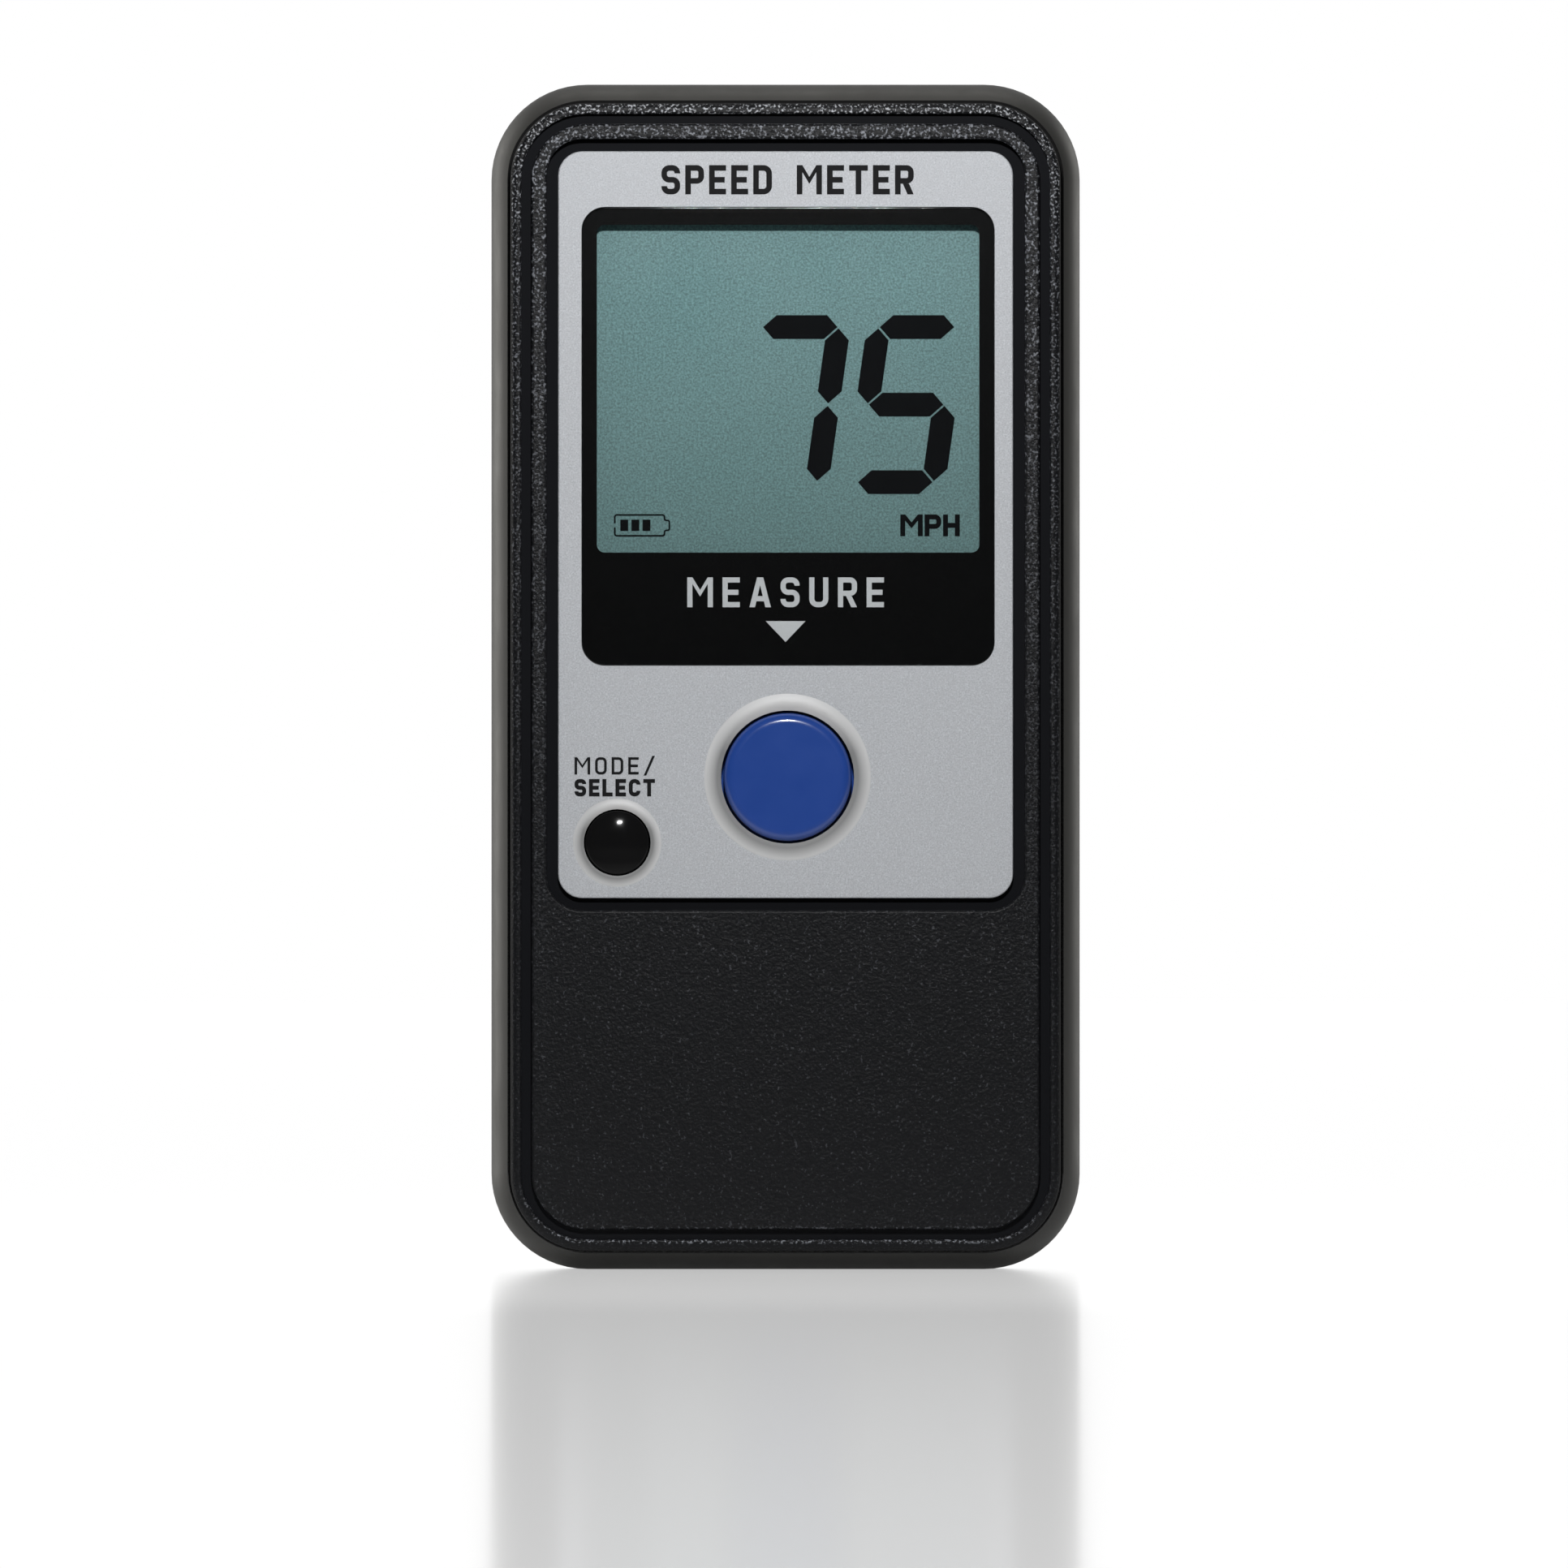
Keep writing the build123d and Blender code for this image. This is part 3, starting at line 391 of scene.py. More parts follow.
def print_material(name, color, rough, specular=0.5):
    """A film or a layer of ink."""
    shader = Shader(name, color, rough, 0.0, Specular_IOR_Level=specular)
    grain = shader.noise(0.08, 2.0, 0.7)
    shader.color(shader.varied(grain, color, 0.2))
    shader.roughness(shader.remap(grain, 0.3, 0.7, rough - 0.06, rough + 0.06))
    return shader.material


def board_material():
    """Green solder mask over copper tracks, with tinned dots."""
    shader = Shader("solder_mask", (0.01, 0.11, 0.045), 0.32)
    bricks = shader.node("ShaderNodeTexBrick", offset=0.5, squash=1.0)
    bricks.inputs["Scale"].default_value = 160.0
    bricks.inputs["Mortar Size"].default_value = 0.035
    flat = shader.node("ShaderNodeCombineXYZ")
    shader.link(shader.axis("X"), flat.inputs[0])
    shader.link(shader.axis("Z"), flat.inputs[1])
    shader.link(flat.outputs[0], bricks.inputs["Vector"])
    tracks = bricks.outputs["Fac"]
    cloud = shader.noise(11.0, 2.0)
    base = shader.mix(tracks, (0.008, 0.10, 0.04), (0.02, 0.18, 0.07))
    dots = shader.remap(shader.cells(2.1), 0.10, 0.13, 1.0, 0.0)
    shader.color(shader.mix(dots, shader.mix(cloud, base, (0.01, 0.13, 0.05)), (0.55, 0.54, 0.5)))
    shader.bump(tracks, 0.02)
    return shader.material


def jacket_material(name, node, raised_end_up):
    """Printed shrink film: slate over most of the cell, a pale line, and grey at its raised end."""
    shader = Shader(name, (0.05, 0.08, 0.1), 0.25, 0.0, Coat_Weight=0.5, Coat_Roughness=0.08)
    low, high = [corner.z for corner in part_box(node)]
    ends = (low, high) if raised_end_up else (high, low)
    position = shader.remap(shader.axis("Z"), *ends, 0.0, 1.0)
    band = shader.math("GREATER_THAN", position, 0.86)
    line = shader.math("COMPARE", position, 0.845)
    line.node.inputs[2].default_value = 0.015
    flake = shader.noise(0.2, 3.0)
    grey = shader.mix(flake, (0.20, 0.20, 0.20), (0.30, 0.30, 0.30))
    slate = shader.mix(flake, (0.030, 0.065, 0.085), (0.055, 0.105, 0.13))
    shader.color(shader.mix(line, shader.mix(band, slate, grey), (0.6, 0.6, 0.58)))
    shader.bump(shader.noise(1.2, 3.0), 0.006)
    return shader.material


def striped_material():
    """Elastomer connector: thin carbon layers between insulating ones."""
    shader = Shader("elastomer_strip", (0.3, 0.14, 0.1), 0.6)
    wave = shader.node("ShaderNodeTexWave", bands_direction="X")
    wave.inputs["Scale"].default_value = 1600.0
    shader.link(shader.coords, wave.inputs["Vector"])
    shader.color(shader.mix(wave.outputs["Fac"], (0.02, 0.018, 0.018), (0.42, 0.17, 0.12)))
    shader.bump(shader.noise(0.3, 2.0), 0.01)
    return shader.material


def label_material():
    """Satin silver film."""
    shader = Shader("rear_label_film", (0.5, 0.51, 0.53), 0.45, 0.3)
    grain = shader.noise(0.15, 2.0, 0.7)
    smear = shader.noise(7.0, 4.0)
    base = shader.mix(grain, (0.44, 0.45, 0.47), (0.56, 0.57, 0.59))
    shader.color(shader.mix(shader.remap(smear, 0.35, 0.7, 0.0, 0.3), base, (0.45, 0.46, 0.48)))
    shader.roughness(shader.remap(smear, 0.3, 0.7, 0.38, 0.55))
    shader.bump(grain, 0.004)
    return shader.material


materials = {
    "casing": casing_material(),
    "cover": cover_material(),
    "door": spark_plastic("textured_door", (0.018, 0.018, 0.018), 0.26, 0.05, 0.45, 0.3),
    "silver": silver_material(),
    "adhesive": print_material("adhesive_film", (0.5, 0.48, 0.42), 0.6),
    "window": clear_sheet("clear_window", (0.97, 0.98, 0.98), 0.75, 0.05),
    "black_print": print_material("black_print", (0.0032, 0.0032, 0.0034), 0.2, 0.2),
    "blue_key": key_material("blue_key", (0.022, 0.070, 0.33), 0.22, 0.6, 0.4),
    "black_key": key_material("black_key", (0.0072, 0.0072, 0.0075), 0.08, 0.0, 0.17),
    "switch_body": satin_plastic("switch_body", (0.03, 0.03, 0.03), 0.5),
    "switch_stem": satin_plastic("switch_stem", (0.45, 0.28, 0.08), 0.45),
    "tinned": plated("tinned_metal", (0.72, 0.71, 0.68), 0.33),
    "lcd_face": lcd_material("lcd_face", 1.0),
    "lcd_glass": glass_edge_material(),
    "reflector": lcd_material("lcd_reflector", 1.2),
    "white_plastic": satin_plastic("display_frame", (0.72, 0.72, 0.70), 0.5),
    "soft_black": satin_plastic("soft_black_foam", (0.008, 0.008, 0.008), 0.85, 0.03),
    "elastomer": striped_material(),
    "board": board_material(),
    "chip": spark_plastic("moulded_epoxy", (0.018, 0.018, 0.02), 0.2, 0.01, 0.55),
    "ceramic": satin_plastic("ceramic_body", (0.30, 0.2, 0.12), 0.5),
    "ferrite": spark_plastic("ferrite_body", (0.06, 0.06, 0.065), 0.25, 0.015, 0.7),
    "steel": plated("plated_steel", (0.66, 0.66, 0.65), 0.28, (1.0, 1.0, 0.15)),
    "connector": satin_plastic("connector_body", (0.012, 0.012, 0.013), 0.55),
    "gold": plated("gold_plate", (0.78, 0.54, 0.20), 0.25),
    "cell": plated("cell_can", (0.7, 0.7, 0.69), 0.25, (1.0, 1.0, 0.1)),
    "jacket_right": jacket_material("jacket_right", "battery_right_jacket", True),
    "jacket_left": jacket_material("jacket_left", "battery_left_jacket", False),
    "spring": plated("spring_wire", (0.68, 0.68, 0.66), 0.24, (1.0, 1.0, 0.3)),
    "screw": plated("blackened_screw", (0.10, 0.10, 0.105), 0.35),
    "label": label_material(),
    "light_print": print_material("light_print", (0.62, 0.625, 0.64), 0.4),
    "ink": print_material("black_ink", (0.008, 0.008, 0.009), 0.6, 0.12),
    "segment": print_material("lcd_segment", (0.0035, 0.004, 0.005), 0.6, 0.05),
}

nodes_of = {
    "casing": ("rear_shell",),
    "cover": ("front_cover",),
    "door": ("battery_door",),
    "silver": ("fascia_plate",),
    "adhesive": ("fascia_adhesive", "lens_adhesive"),
    "window": ("display_lens",),
    "black_print": ("display_mask",),
    "blue_key": ("measure_button",),
    "black_key": ("mode_button",),
    "switch_body": ("measure_switch_base", "mode_switch_base"),
    "switch_stem": ("measure_switch_stem", "mode_switch_stem"),
    "tinned": ("measure_switch_cover", "mode_switch_cover", "processor_leads"),
    "spring": ("measure_switch_dome", "mode_switch_dome", "bridge_spring", "negative_spring"),
    "lcd_face": ("lcd_front_polarizer",),
    "lcd_glass": ("lcd_front_glass", "lcd_rear_glass"),
    "reflector": ("lcd_reflector",),
    "white_plastic": ("lcd_frame",),
    "soft_black": ("lcd_gasket",),
    "elastomer": ("zebra_strip_upper", "zebra_strip_lower"),
    "board": ("main_board", "antenna_board"),
    "chip": ("processor_chip", "radar_chip"),
    "ceramic": ("board_capacitors",),
    "ferrite": ("power_inductor",),
    "steel": ("crystal_can", "rf_shield", "bridge_contact", "positive_terminal", "negative_terminal"),
    "connector": ("board_socket", "antenna_header"),
    "gold": ("header_pins", "antenna_patches"),
    "cell": ("battery_left_can", "battery_right_can"),
    "jacket_left": ("battery_left_jacket",),
    "jacket_right": ("battery_right_jacket",),
    "screw": ("housing_screws", "board_screws", "antenna_screws"),
    "label": ("rear_label",),
}
for finish, nodes in nodes_of.items():
    for node in nodes:
        data = NODES[node].data
        data.materials.clear()
        data.materials.append(materials[finish])


# ---- printed shapes ----------------------------------------------------------------------
class Print:
    """Thin closed shapes drawn in X and Z at one depth, gathered into one mesh."""

    def __init__(self, front, thickness):
        self.mesh = bmesh.new()
        self.front, self.back = front, front + thickness

    def strip(self, left, right, closed=False):
        """A slab between two lines of points."""
        rows = []
        for (lx, lz), (rx, rz) in zip(left, right):
            spots = ((lx, self.front, lz), (rx, self.front, rz), (rx, self.back, rz), (lx, self.back, lz))
            rows.append([self.mesh.verts.new(spot) for spot in spots])
        pairs = list(zip(rows, rows[1:]))
        if closed:
            pairs.append((rows[-1], rows[0]))
        for one, two in pairs:
            for k in range(4):
                self.mesh.faces.new((one[k], one[(k + 1) % 4], two[(k + 1) % 4], two[k]))
        if not closed:
            self.mesh.faces.new(rows[0][::-1])
            self.mesh.faces.new(rows[-1])

    def quad(self, corners):
        """A slab on four corners: lower left, lower right, upper right, upper left."""
        a, b, c, d = corners
        self.strip((a, d), (b, c))

    def polygon(self, points):
        """A slab on a closed outline."""
        front = [self.mesh.verts.new((x, self.front, z)) for x, z in points]
        back = [self.mesh.verts.new((x, self.back, z)) for x, z in points]
        self.mesh.faces.new(front)
        self.mesh.faces.new(back[::-1])
        for k in range(len(points)):
            n = (k + 1) % len(points)
            self.mesh.faces.new((front[k], back[k], back[n], front[n]))

    def stroke(self, points, width, closed=False):
        """A line of constant width with square ends."""
        count = len(points)
        left, right = [], []
        for k in range(count):
            here = Vector(points[k])
            before = Vector(points[k - 1]) if (k or closed) else None
            after = Vector(points[(k + 1) % count]) if (k < count - 1 or closed) else None
            into = (here - before).normalized() if before else (after - here).normalized()
            out = (after - here).normalized() if after else into
            normal = Vector((-(into.y + out.y), into.x + out.x)).normalized()
            reach = width / 2 / max(0.35, normal.dot(Vector((-out.y, out.x))))
            left.append(tuple(here + normal * reach))
            right.append(tuple(here - normal * reach))
        self.strip(left, right, closed)

    def done(self, name, material, body="case"):
        """Turns the gathered shapes into one piece that rides on a body."""
        bmesh.ops.recalc_face_normals(self.mesh, faces=self.mesh.faces)
        data = bpy.data.meshes.new(name)
        self.mesh.to_mesh(data)
        self.mesh.free()
        data.materials.append(materials[material])
        piece = bpy.data.objects.new(name, data)
        bpy.context.scene.collection.objects.link(piece)
        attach(piece, body)
        return piece


def rounded_path(points, radius, closed=False):
    """Points of a polyline whose corners are replaced by arcs."""
    path, count, steps = [], len(points), 7  # steps in each arc
    for k, point in enumerate(points):
        if not closed and k in (0, count - 1):
            path.append(point)
            continue
        here, before, after = Vector(point), Vector(points[k - 1]), Vector(points[(k + 1) % count])
        into, out = (here - before).normalized(), (after - here).normalized()
        start, end = here - into * radius, here + out * radius
        for step in range(steps + 1):
            turn = step / steps * math.pi / 2
            spot = start + (here - start) * math.sin(turn) + (end - here) * (1 - math.cos(turn))
            path.append(tuple(spot))
    return path


def letter(pen, char, x, z, cap, width, line):
    """Draws one plain capital of straight bars and lines with rounded corners; x, z is its foot."""
    half = line / 2
    left, right, low, high = half, width - half, half, cap - half
    mid = cap / 2
    curve = min(width, cap) * 0.30

    def at(points):
        return [(x + px, z + pz) for px, pz in points]

    def bar(x0, x1, z0, z1):
        pen.quad(at(((x0, z0), (x1, z0), (x1, z1), (x0, z1))))

    def line_through(points, radius=curve, closed=False):
        path = rounded_path(points, radius, closed) if radius else points
        pen.stroke(at(path), line, closed)

    if char in "EDPRLH":
        bar(0, line, 0, cap)
    if char in "EL":
        bar(line, width, 0, line)
    if char == "E":
        bar(line, width, cap - line, cap)
        bar(line, width * 0.92, mid - half, mid + half)
    if char == "D":
        line_through([(line, high), (right, high), (right, low), (line, low)])
    if char in "PR":
        waist = mid - half * 0.4
        line_through([(line, high), (right, high), (right, waist), (line, waist)], curve * 0.78)
    if char == "R":
        top = mid - half * 1.4
        start = width * 0.42
        pen.quad(at(((width - line * 1.1, 0), (width, 0), (start + line * 1.1, top), (start, top))))
    if char == "T":
        bar(0, width, cap - line, cap)
        bar(width / 2 - half, width / 2 + half, 0, cap - line)
    if char == "H":
        bar(width - line, width, 0, cap)
        bar(line, width - line, mid - half, mid + half)
    if char == "O":
        line_through([(left, low), (right, low), (right, high), (left, high)], curve, True)
    if char == "C":
        upper_end, lower_end = (right, cap * 0.68), (right, cap * 0.32)
        line_through([upper_end, (right, high), (left, high), (left, low), (right, low), lower_end])
    if char == "U":
        line_through([(left, cap), (left, low), (right, low), (right, cap)])
    if char == "S":
        bend = (high - mid) * 0.42
        upper = [(right, high - bend * 1.1), (right, high), (left, high), (left, mid)]
        lower = [(right, mid), (right, low), (left, low), (left, low + bend * 1.1)]
        line_through(upper + lower, bend)
    if char == "M":
        bar(0, line, 0, cap)
        bar(width - line, width, 0, cap)
        dip, thick = cap * 0.36, line * 1.25
        centre = width / 2
        stem = width - line
        pen.quad(at(((line, cap - thick), (centre, dip), (centre, dip + thick), (line, cap))))
        pen.quad(at(((centre, dip), (stem, cap - thick), (stem, cap), (centre, dip + thick))))
    if char == "A":
        foot, centre, flat = line * 1.08, width / 2, line * 0.6
        inner = cap - line * 1.5
        for side in (-1, 1):
            outer_foot, inner_foot = centre + side * centre, centre + side * (centre - foot)
            crown = ((centre, inner), (centre, cap), (centre + side * flat, cap))
            legs = ((outer_foot, 0), (inner_foot, 0), *crown)
            pen.polygon(at(legs if side < 0 else legs[::-1]))
        rise, span = cap * 0.2, centre - foot
        top = rise + line
        low_half, high_half = span * (1 - rise / inner), span * (1 - top / inner)
        foot_line = ((centre - low_half, rise), (centre + low_half, rise))
        top_line = ((centre + high_half, top), (centre - high_half, top))
        pen.quad(at((*foot_line, *top_line)))
    if char == "/":
        under, over = -cap * 0.06, cap * 1.08
        pen.quad(at(((0, under), (line, under), (width, over), (width - line, over))))


def write(pen, text, x, z, length, cap, line, stretch=1.0):
    """Writes a line of capitals from x, filling a length."""
    widths = {"M": 0.86, "/": 0.62, "L": 0.56, "E": 0.58, "A": 0.72, " ": 0.5}  # shares of the height
    sizes = [widths.get(char, 0.64) * cap * stretch for char in text]
    gap = (length - sum(sizes)) / (len(text) - 1)
    for char, width in zip(text, sizes):
        if char != " ":
            letter(pen, char, x, z, cap, width, line)
        x += width + gap


# ---- print on the fascia -----------------------------------------------------------------
INK = 0.02 * MM  # thickness of a print
lens_low, lens_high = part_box("display_lens")
mask_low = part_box("display_mask")[0]
display_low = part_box("lcd_front_polarizer")[0]
face = lens_low.y  # the lens lies flush with the fascia

pen = Print(face - INK, INK)
HEADER_LENGTH, HEADER_CAP = 25.4 * MM, 2.95 * MM
header_x, header_z = 0.2 * MM - HEADER_LENGTH / 2, lens_high.z + 1.3 * MM
write(pen, "SPEED METER", header_x, header_z, HEADER_LENGTH, HEADER_CAP, 0.57 * MM)
pen.done("header_print", "ink")

pen = Print(face - INK, INK)
MODE_LENGTH, MODE_CAP, MODE_STRETCH = 8.1 * MM, 1.75 * MM, 1.05
mode_low, mode_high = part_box("mode_button")
mode_x, mode_z = (mode_low.x + mode_high.x) / 2 - 4.3 * MM, mode_high.z + 0.55 * MM
write(pen, "MODE/", mode_x, mode_z + 2.2 * MM, MODE_LENGTH, MODE_CAP, 0.27 * MM, MODE_STRETCH)
write(pen, "SELECT", mode_x, mode_z, MODE_LENGTH, MODE_CAP, 0.4 * MM, MODE_STRETCH)
pen.done("mode_label_print", "ink")

pen = Print(mask_low.y - INK * 1.2, INK)
MEASURE_LENGTH, MEASURE_CAP = 19.8 * MM, 3.0 * MM
measure_z = lens_low.z + 5.85 * MM
write(pen, "MEASURE", -MEASURE_LENGTH / 2, measure_z, MEASURE_LENGTH, MEASURE_CAP, 0.52 * MM)
ARROW_HALF, ARROW_HEIGHT = 2.0 * MM, 2.1 * MM
arrow_z = measure_z - 1.4 * MM
pen.polygon([(-ARROW_HALF, arrow_z), (0.0, arrow_z - ARROW_HEIGHT), (ARROW_HALF, arrow_z)])
pen.done("measure_label_print", "light_print")


# ---- what the display shows --------------------------------------------------------------
SLANT = math.tan(math.radians(8.0))
SEGMENTS = {  # each segment runs between two of the six corners, given as column and row
    "a": ((0, 2), (1, 2)), "b": ((1, 1), (1, 2)), "c": ((1, 0), (1, 1)), "d": ((0, 0), (1, 0)),
    "e": ((0, 0), (0, 1)), "f": ((0, 1), (0, 2)), "g": ((0, 1), (1, 1)),
}


def digit(pen, shown, x, z, width=7.76 * MM, row=7.81 * MM, thick=2.4 * MM, gap=0.13 * MM):
    """A seven-segment digit that leans to the right; x, z is its lower left corner point."""
    half = thick / 2
    for name in shown:
        (c0, r0), (c1, r1) = SEGMENTS[name]
        start, end = Vector((c0 * width, r0 * row)), Vector((c1 * width, r1 * row))
        along = (end - start).normalized()
        across = Vector((-along.y, along.x)) * half
        start, end = start + along * gap, end - along * gap
        near, far = start + along * half, end - along * half
        shape = [start, near - across, far - across, end, far + across, near + across]
        pen.polygon([(x + p.x + p.y * SLANT, z + p.y) for p in shape])


def battery_icon(pen, x, z):
    """The outline of a cell, open at its left end, with three bars in it; x, z is its corner."""
    length, height, nub = 5.0, 2.1, 0.5
    middle, half_nub, half_gap = height / 2, 0.5, 0.2
    body = [(0.0, middle - half_gap), (0.0, 0.0), (length, 0.0), (length, middle - half_nub)]
    tip = [(length + nub, middle - half_nub), (length + nub, middle + half_nub)]
    back = [(length, middle + half_nub), (length, height), (0.0, height), (0.0, middle + half_gap)]
    outline = [(x + px * MM, z + pz * MM) for px, pz in body + tip + back]
    pen.stroke(rounded_path(outline, 0.2 * MM), 0.17 * MM)
    bar_width, bar_height, pitch = 0.8 * MM, 1.15 * MM, 1.12 * MM
    for place in range(3):
        left, foot = x + 0.55 * MM + pitch * place, z + 0.48 * MM
        right, head = left + bar_width, foot + bar_height
        pen.quad([(left, foot), (right, foot), (right, head), (left, head)])


pen = Print(display_low.y - INK, INK)
DIGIT_FOOT, SYMBOL_FOOT = 79.3 * MM, 73.9 * MM
digit(pen, "abc", -4.6 * MM, DIGIT_FOOT)
digit(pen, "afgcd", 7.16 * MM, DIGIT_FOOT)
write(pen, "MPH", 11.55 * MM, SYMBOL_FOOT - 0.05 * MM, 6.0 * MM, 2.2 * MM, 0.5 * MM, 1.2)
battery_icon(pen, -17.2 * MM, SYMBOL_FOOT)
pen.done("lcd_segments", "segment")


# ---- ruled lines on the rear label -------------------------------------------------------
label_low, label_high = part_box("rear_label")
label_middle = (label_low.z + label_high.z) / 2
pen = Print(label_high.y, INK)
edge_x, edge_z = label_high.x - 1.6 * MM, label_high.z - 1.6 * MM
foot_z = 2 * label_middle - edge_z
frame_points = [(-edge_x, foot_z), (edge_x, foot_z), (edge_x, edge_z), (-edge_x, edge_z)]
pen.stroke(rounded_path(frame_points, 1.8 * MM, True), 0.3 * MM, True)
for share in (0.34, 0.67):
    line_z = foot_z + (edge_z - foot_z) * share
    pen.stroke([(-edge_x + 2 * MM, line_z), (edge_x - 2 * MM, line_z)], 0.2 * MM)
pen.done("rear_label_rules", "ink")


# ---- springs -----------------------------------------------------------------------------
def spring(name, node, cell, wide_end_up):
    """A conical coil of wire that takes the place of the faceted CAD one."""
    low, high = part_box(node)
    can_low, can_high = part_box(cell)
    centre_x, centre_y = (can_low.x + can_high.x) / 2, (can_low.y + can_high.y) / 2
    wire, wide, narrow = 0.6 * MM, 3.9 * MM, 2.2 * MM  # the wire's thickness and the two end radii
    turns, steps = 3.5, 120
    start, end = low.z + wire / 2, high.z - wire / 2
    side = 1
    if wide_end_up:
        start, end, side = end, start, -1
    curve = bpy.data.curves.new(name, "CURVE")
    curve.dimensions = "3D"
    curve.bevel_depth = wire / 2
    curve.bevel_resolution = 4
    curve.use_fill_caps = True
    spline = curve.splines.new("POLY")
    spline.points.add(steps)
    for k in range(steps + 1):
        part = k / steps
        radius = wide + (narrow - wide) * part
        turn = 2 * math.pi * turns * part
        x, y = centre_x + radius * math.cos(turn), centre_y + side * radius * math.sin(turn)
        spline.points[k].co = (x, y, start + (end - start) * part, 1.0)
    curve.materials.append(materials["spring"])
    piece = bpy.data.objects.new(name, curve)
    bpy.context.scene.collection.objects.link(piece)
    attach(piece, "case")
    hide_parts(node)


spring("bridge_spring_wire", "bridge_spring", "battery_right_can", False)
spring("negative_spring_wire", "negative_spring", "battery_left_can", True)


# ---- stage: floor, world, lights and camera ----------------------------------------------
scene = bpy.context.scene
scene.view_settings.view_transform = "Standard"


def floor_material():
    """A white floor that mirrors softly, and throws little light back up at the object.

    The camera sees the glow and the soft mirror. Other rays meet a floor that is dim well in
    front of the object and pale from there back, with a faint light along the object's foot.
    """
    ground = Shader("floor_finish", (0.9, 0.9, 0.9), 0.5)
    ground.tree.nodes.remove(ground.bsdf)
    glow, foot = [ground.node("ShaderNodeEmission") for _ in range(2)]
    matt, dim = [ground.node("ShaderNodeBsdfDiffuse") for _ in range(2)]
    mirror = ground.node("ShaderNodeBsdfGlossy")
    glow.inputs["Strength"].default_value = 1.37
    matt.inputs["Color"].default_value = (0.15, 0.15, 0.15, 1.0)
    mirror.inputs["Roughness"].default_value = 0.12
    ground.link(ground.remap(ground.axis("Y"), -0.08, -0.035, 0.12, 0.9), dim.inputs["Color"])
    rise = ground.remap(ground.axis("Y"), -0.06, -0.02, 0.0, 0.17)
    fall = ground.remap(ground.axis("Y"), -0.005, 0.005, 1.0, 0.0)
    ground.link(ground.math("MULTIPLY", rise, fall), foot.inputs["Strength"])
    white, bounce = [ground.node("ShaderNodeAddShader") for _ in range(2)]
    seen, choose = [ground.node("ShaderNodeMixShader") for _ in range(2)]
    ground.link(dim.outputs[0], bounce.inputs[0])
    ground.link(foot.outputs[0], bounce.inputs[1])
    ground.link(glow.outputs[0], white.inputs[0])
    ground.link(matt.outputs[0], white.inputs[1])
    seen.inputs[0].default_value = 0.65  # share of the mirror
    ground.link(white.outputs[0], seen.inputs[1])
    ground.link(mirror.outputs[0], seen.inputs[2])
    rays = ground.node("ShaderNodeLightPath")
    ground.link(rays.outputs["Is Camera Ray"], choose.inputs[0])
    ground.link(bounce.outputs[0], choose.inputs[1])
    ground.link(seen.outputs[0], choose.inputs[2])
    ground.link(choose.outputs[0], ground.output.inputs["Surface"])
    return ground.material


EXTENT = 5.0
floor_mesh = bpy.data.meshes.new("floor")
square = [(-EXTENT, -EXTENT, 0), (EXTENT, -EXTENT, 0), (EXTENT, EXTENT, 0), (-EXTENT, EXTENT, 0)]
floor_mesh.from_pydata(square, [], [(0, 1, 2, 3)])
floor_mesh.materials.append(floor_material())
floor = bpy.data.objects.new("floor", floor_mesh)
scene.collection.objects.link(floor)


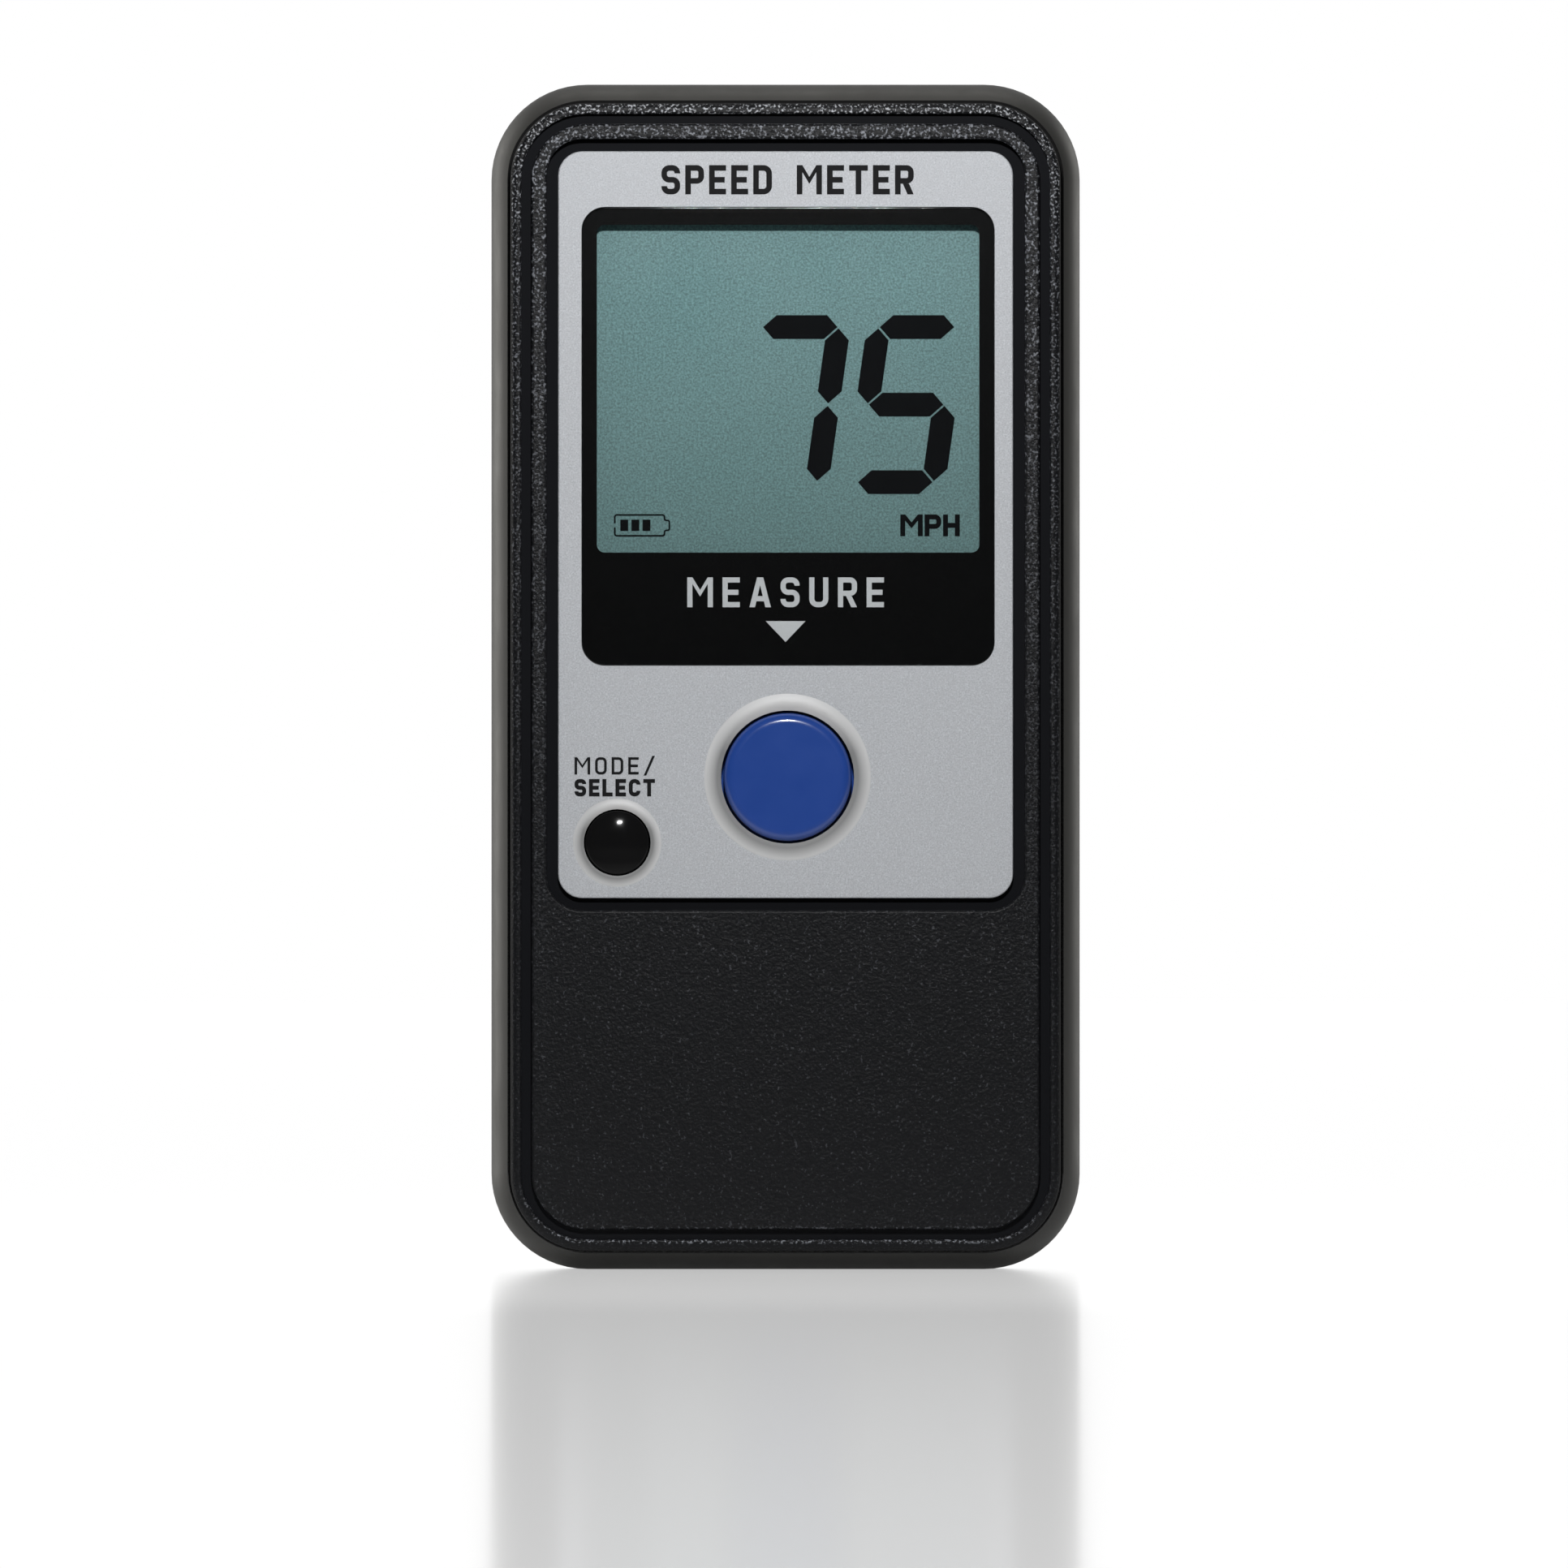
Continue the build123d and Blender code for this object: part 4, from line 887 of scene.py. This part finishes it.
def studio_world():
    """White where the camera looks; for other rays dim, and brighter behind the object."""
    world = bpy.data.worlds.new("studio")
    world.use_nodes = True
    sky = world.node_tree
    background = sky.nodes["Background"]
    background.inputs["Color"].default_value = (1.0, 1.0, 1.0, 1.0)
    rays = sky.nodes.new("ShaderNodeLightPath")
    direction = sky.nodes.new("ShaderNodeTexCoord")
    split = sky.nodes.new("ShaderNodeSeparateXYZ")
    sky.links.new(direction.outputs["Generated"], split.inputs[0])
    rear = map_range(sky, split.outputs["Y"], 0.0, 0.8, 0.01, 0.6)
    horizon = map_range(sky, split.outputs["Y"], 0.93, 0.98, 0.0, 0.5)
    total = sky.nodes.new("ShaderNodeMath")
    sky.links.new(rear.outputs["Result"], total.inputs[0])
    sky.links.new(horizon.outputs["Result"], total.inputs[1])
    choose = sky.nodes.new("ShaderNodeMix")
    sky.links.new(rays.outputs["Is Camera Ray"], choose.inputs[0])
    sky.links.new(total.outputs[0], choose.inputs[2])
    choose.inputs[3].default_value = 1.0
    sky.links.new(choose.outputs[0], background.inputs["Strength"])
    return world


scene.world = studio_world()


def softbox(name, place, target, size, power, color=(1.0, 1.0, 1.0)):
    """A rectangular area light aimed at a target."""
    lamp = bpy.data.lights.new(name, "AREA")
    lamp.shape = "RECTANGLE"
    lamp.size, lamp.size_y = size
    lamp.energy, lamp.color = power, color
    light = bpy.data.objects.new(name, lamp)
    light.location = place
    light.rotation_euler = (Vector(target) - Vector(place)).to_track_quat("-Z", "Y").to_euler()
    scene.collection.objects.link(light)


WARM = (1.0, 0.98, 0.93)
heart = (0.0, 0.0, 0.06)
softbox("key", (0.0, -0.25, 0.19), heart, (0.024, 0.014), 0.55)
softbox("top_edge", (0.0, 0.085, 0.4), (0.0, 0.0, 0.1), (0.3, 0.09), 0.24, WARM)
softbox("side_left", (-0.5, 0.27, 0.14), heart, (0.2, 0.5), 2.1, WARM)
softbox("side_right", (0.5, 0.5, 0.14), heart, (0.2, 0.5), 1.0, WARM)

camera_data = bpy.data.cameras.new("camera")
camera = bpy.data.objects.new("camera", camera_data)
scene.collection.objects.link(camera)
scene.camera = camera
DISTANCE, VIEW_WIDTH, SENSOR = 4.0, 157.8 * MM, 36.0  # the view's width is taken at the front face
camera_data.sensor_width = SENSOR
camera_data.lens = SENSOR * DISTANCE / VIEW_WIDTH
camera_data.clip_start, camera_data.clip_end = 0.1, 30.0
camera.location = (-0.16 * MM, cad_low.y - DISTANCE, 48.9 * MM)
camera.rotation_euler = (math.radians(90), 0, 0)
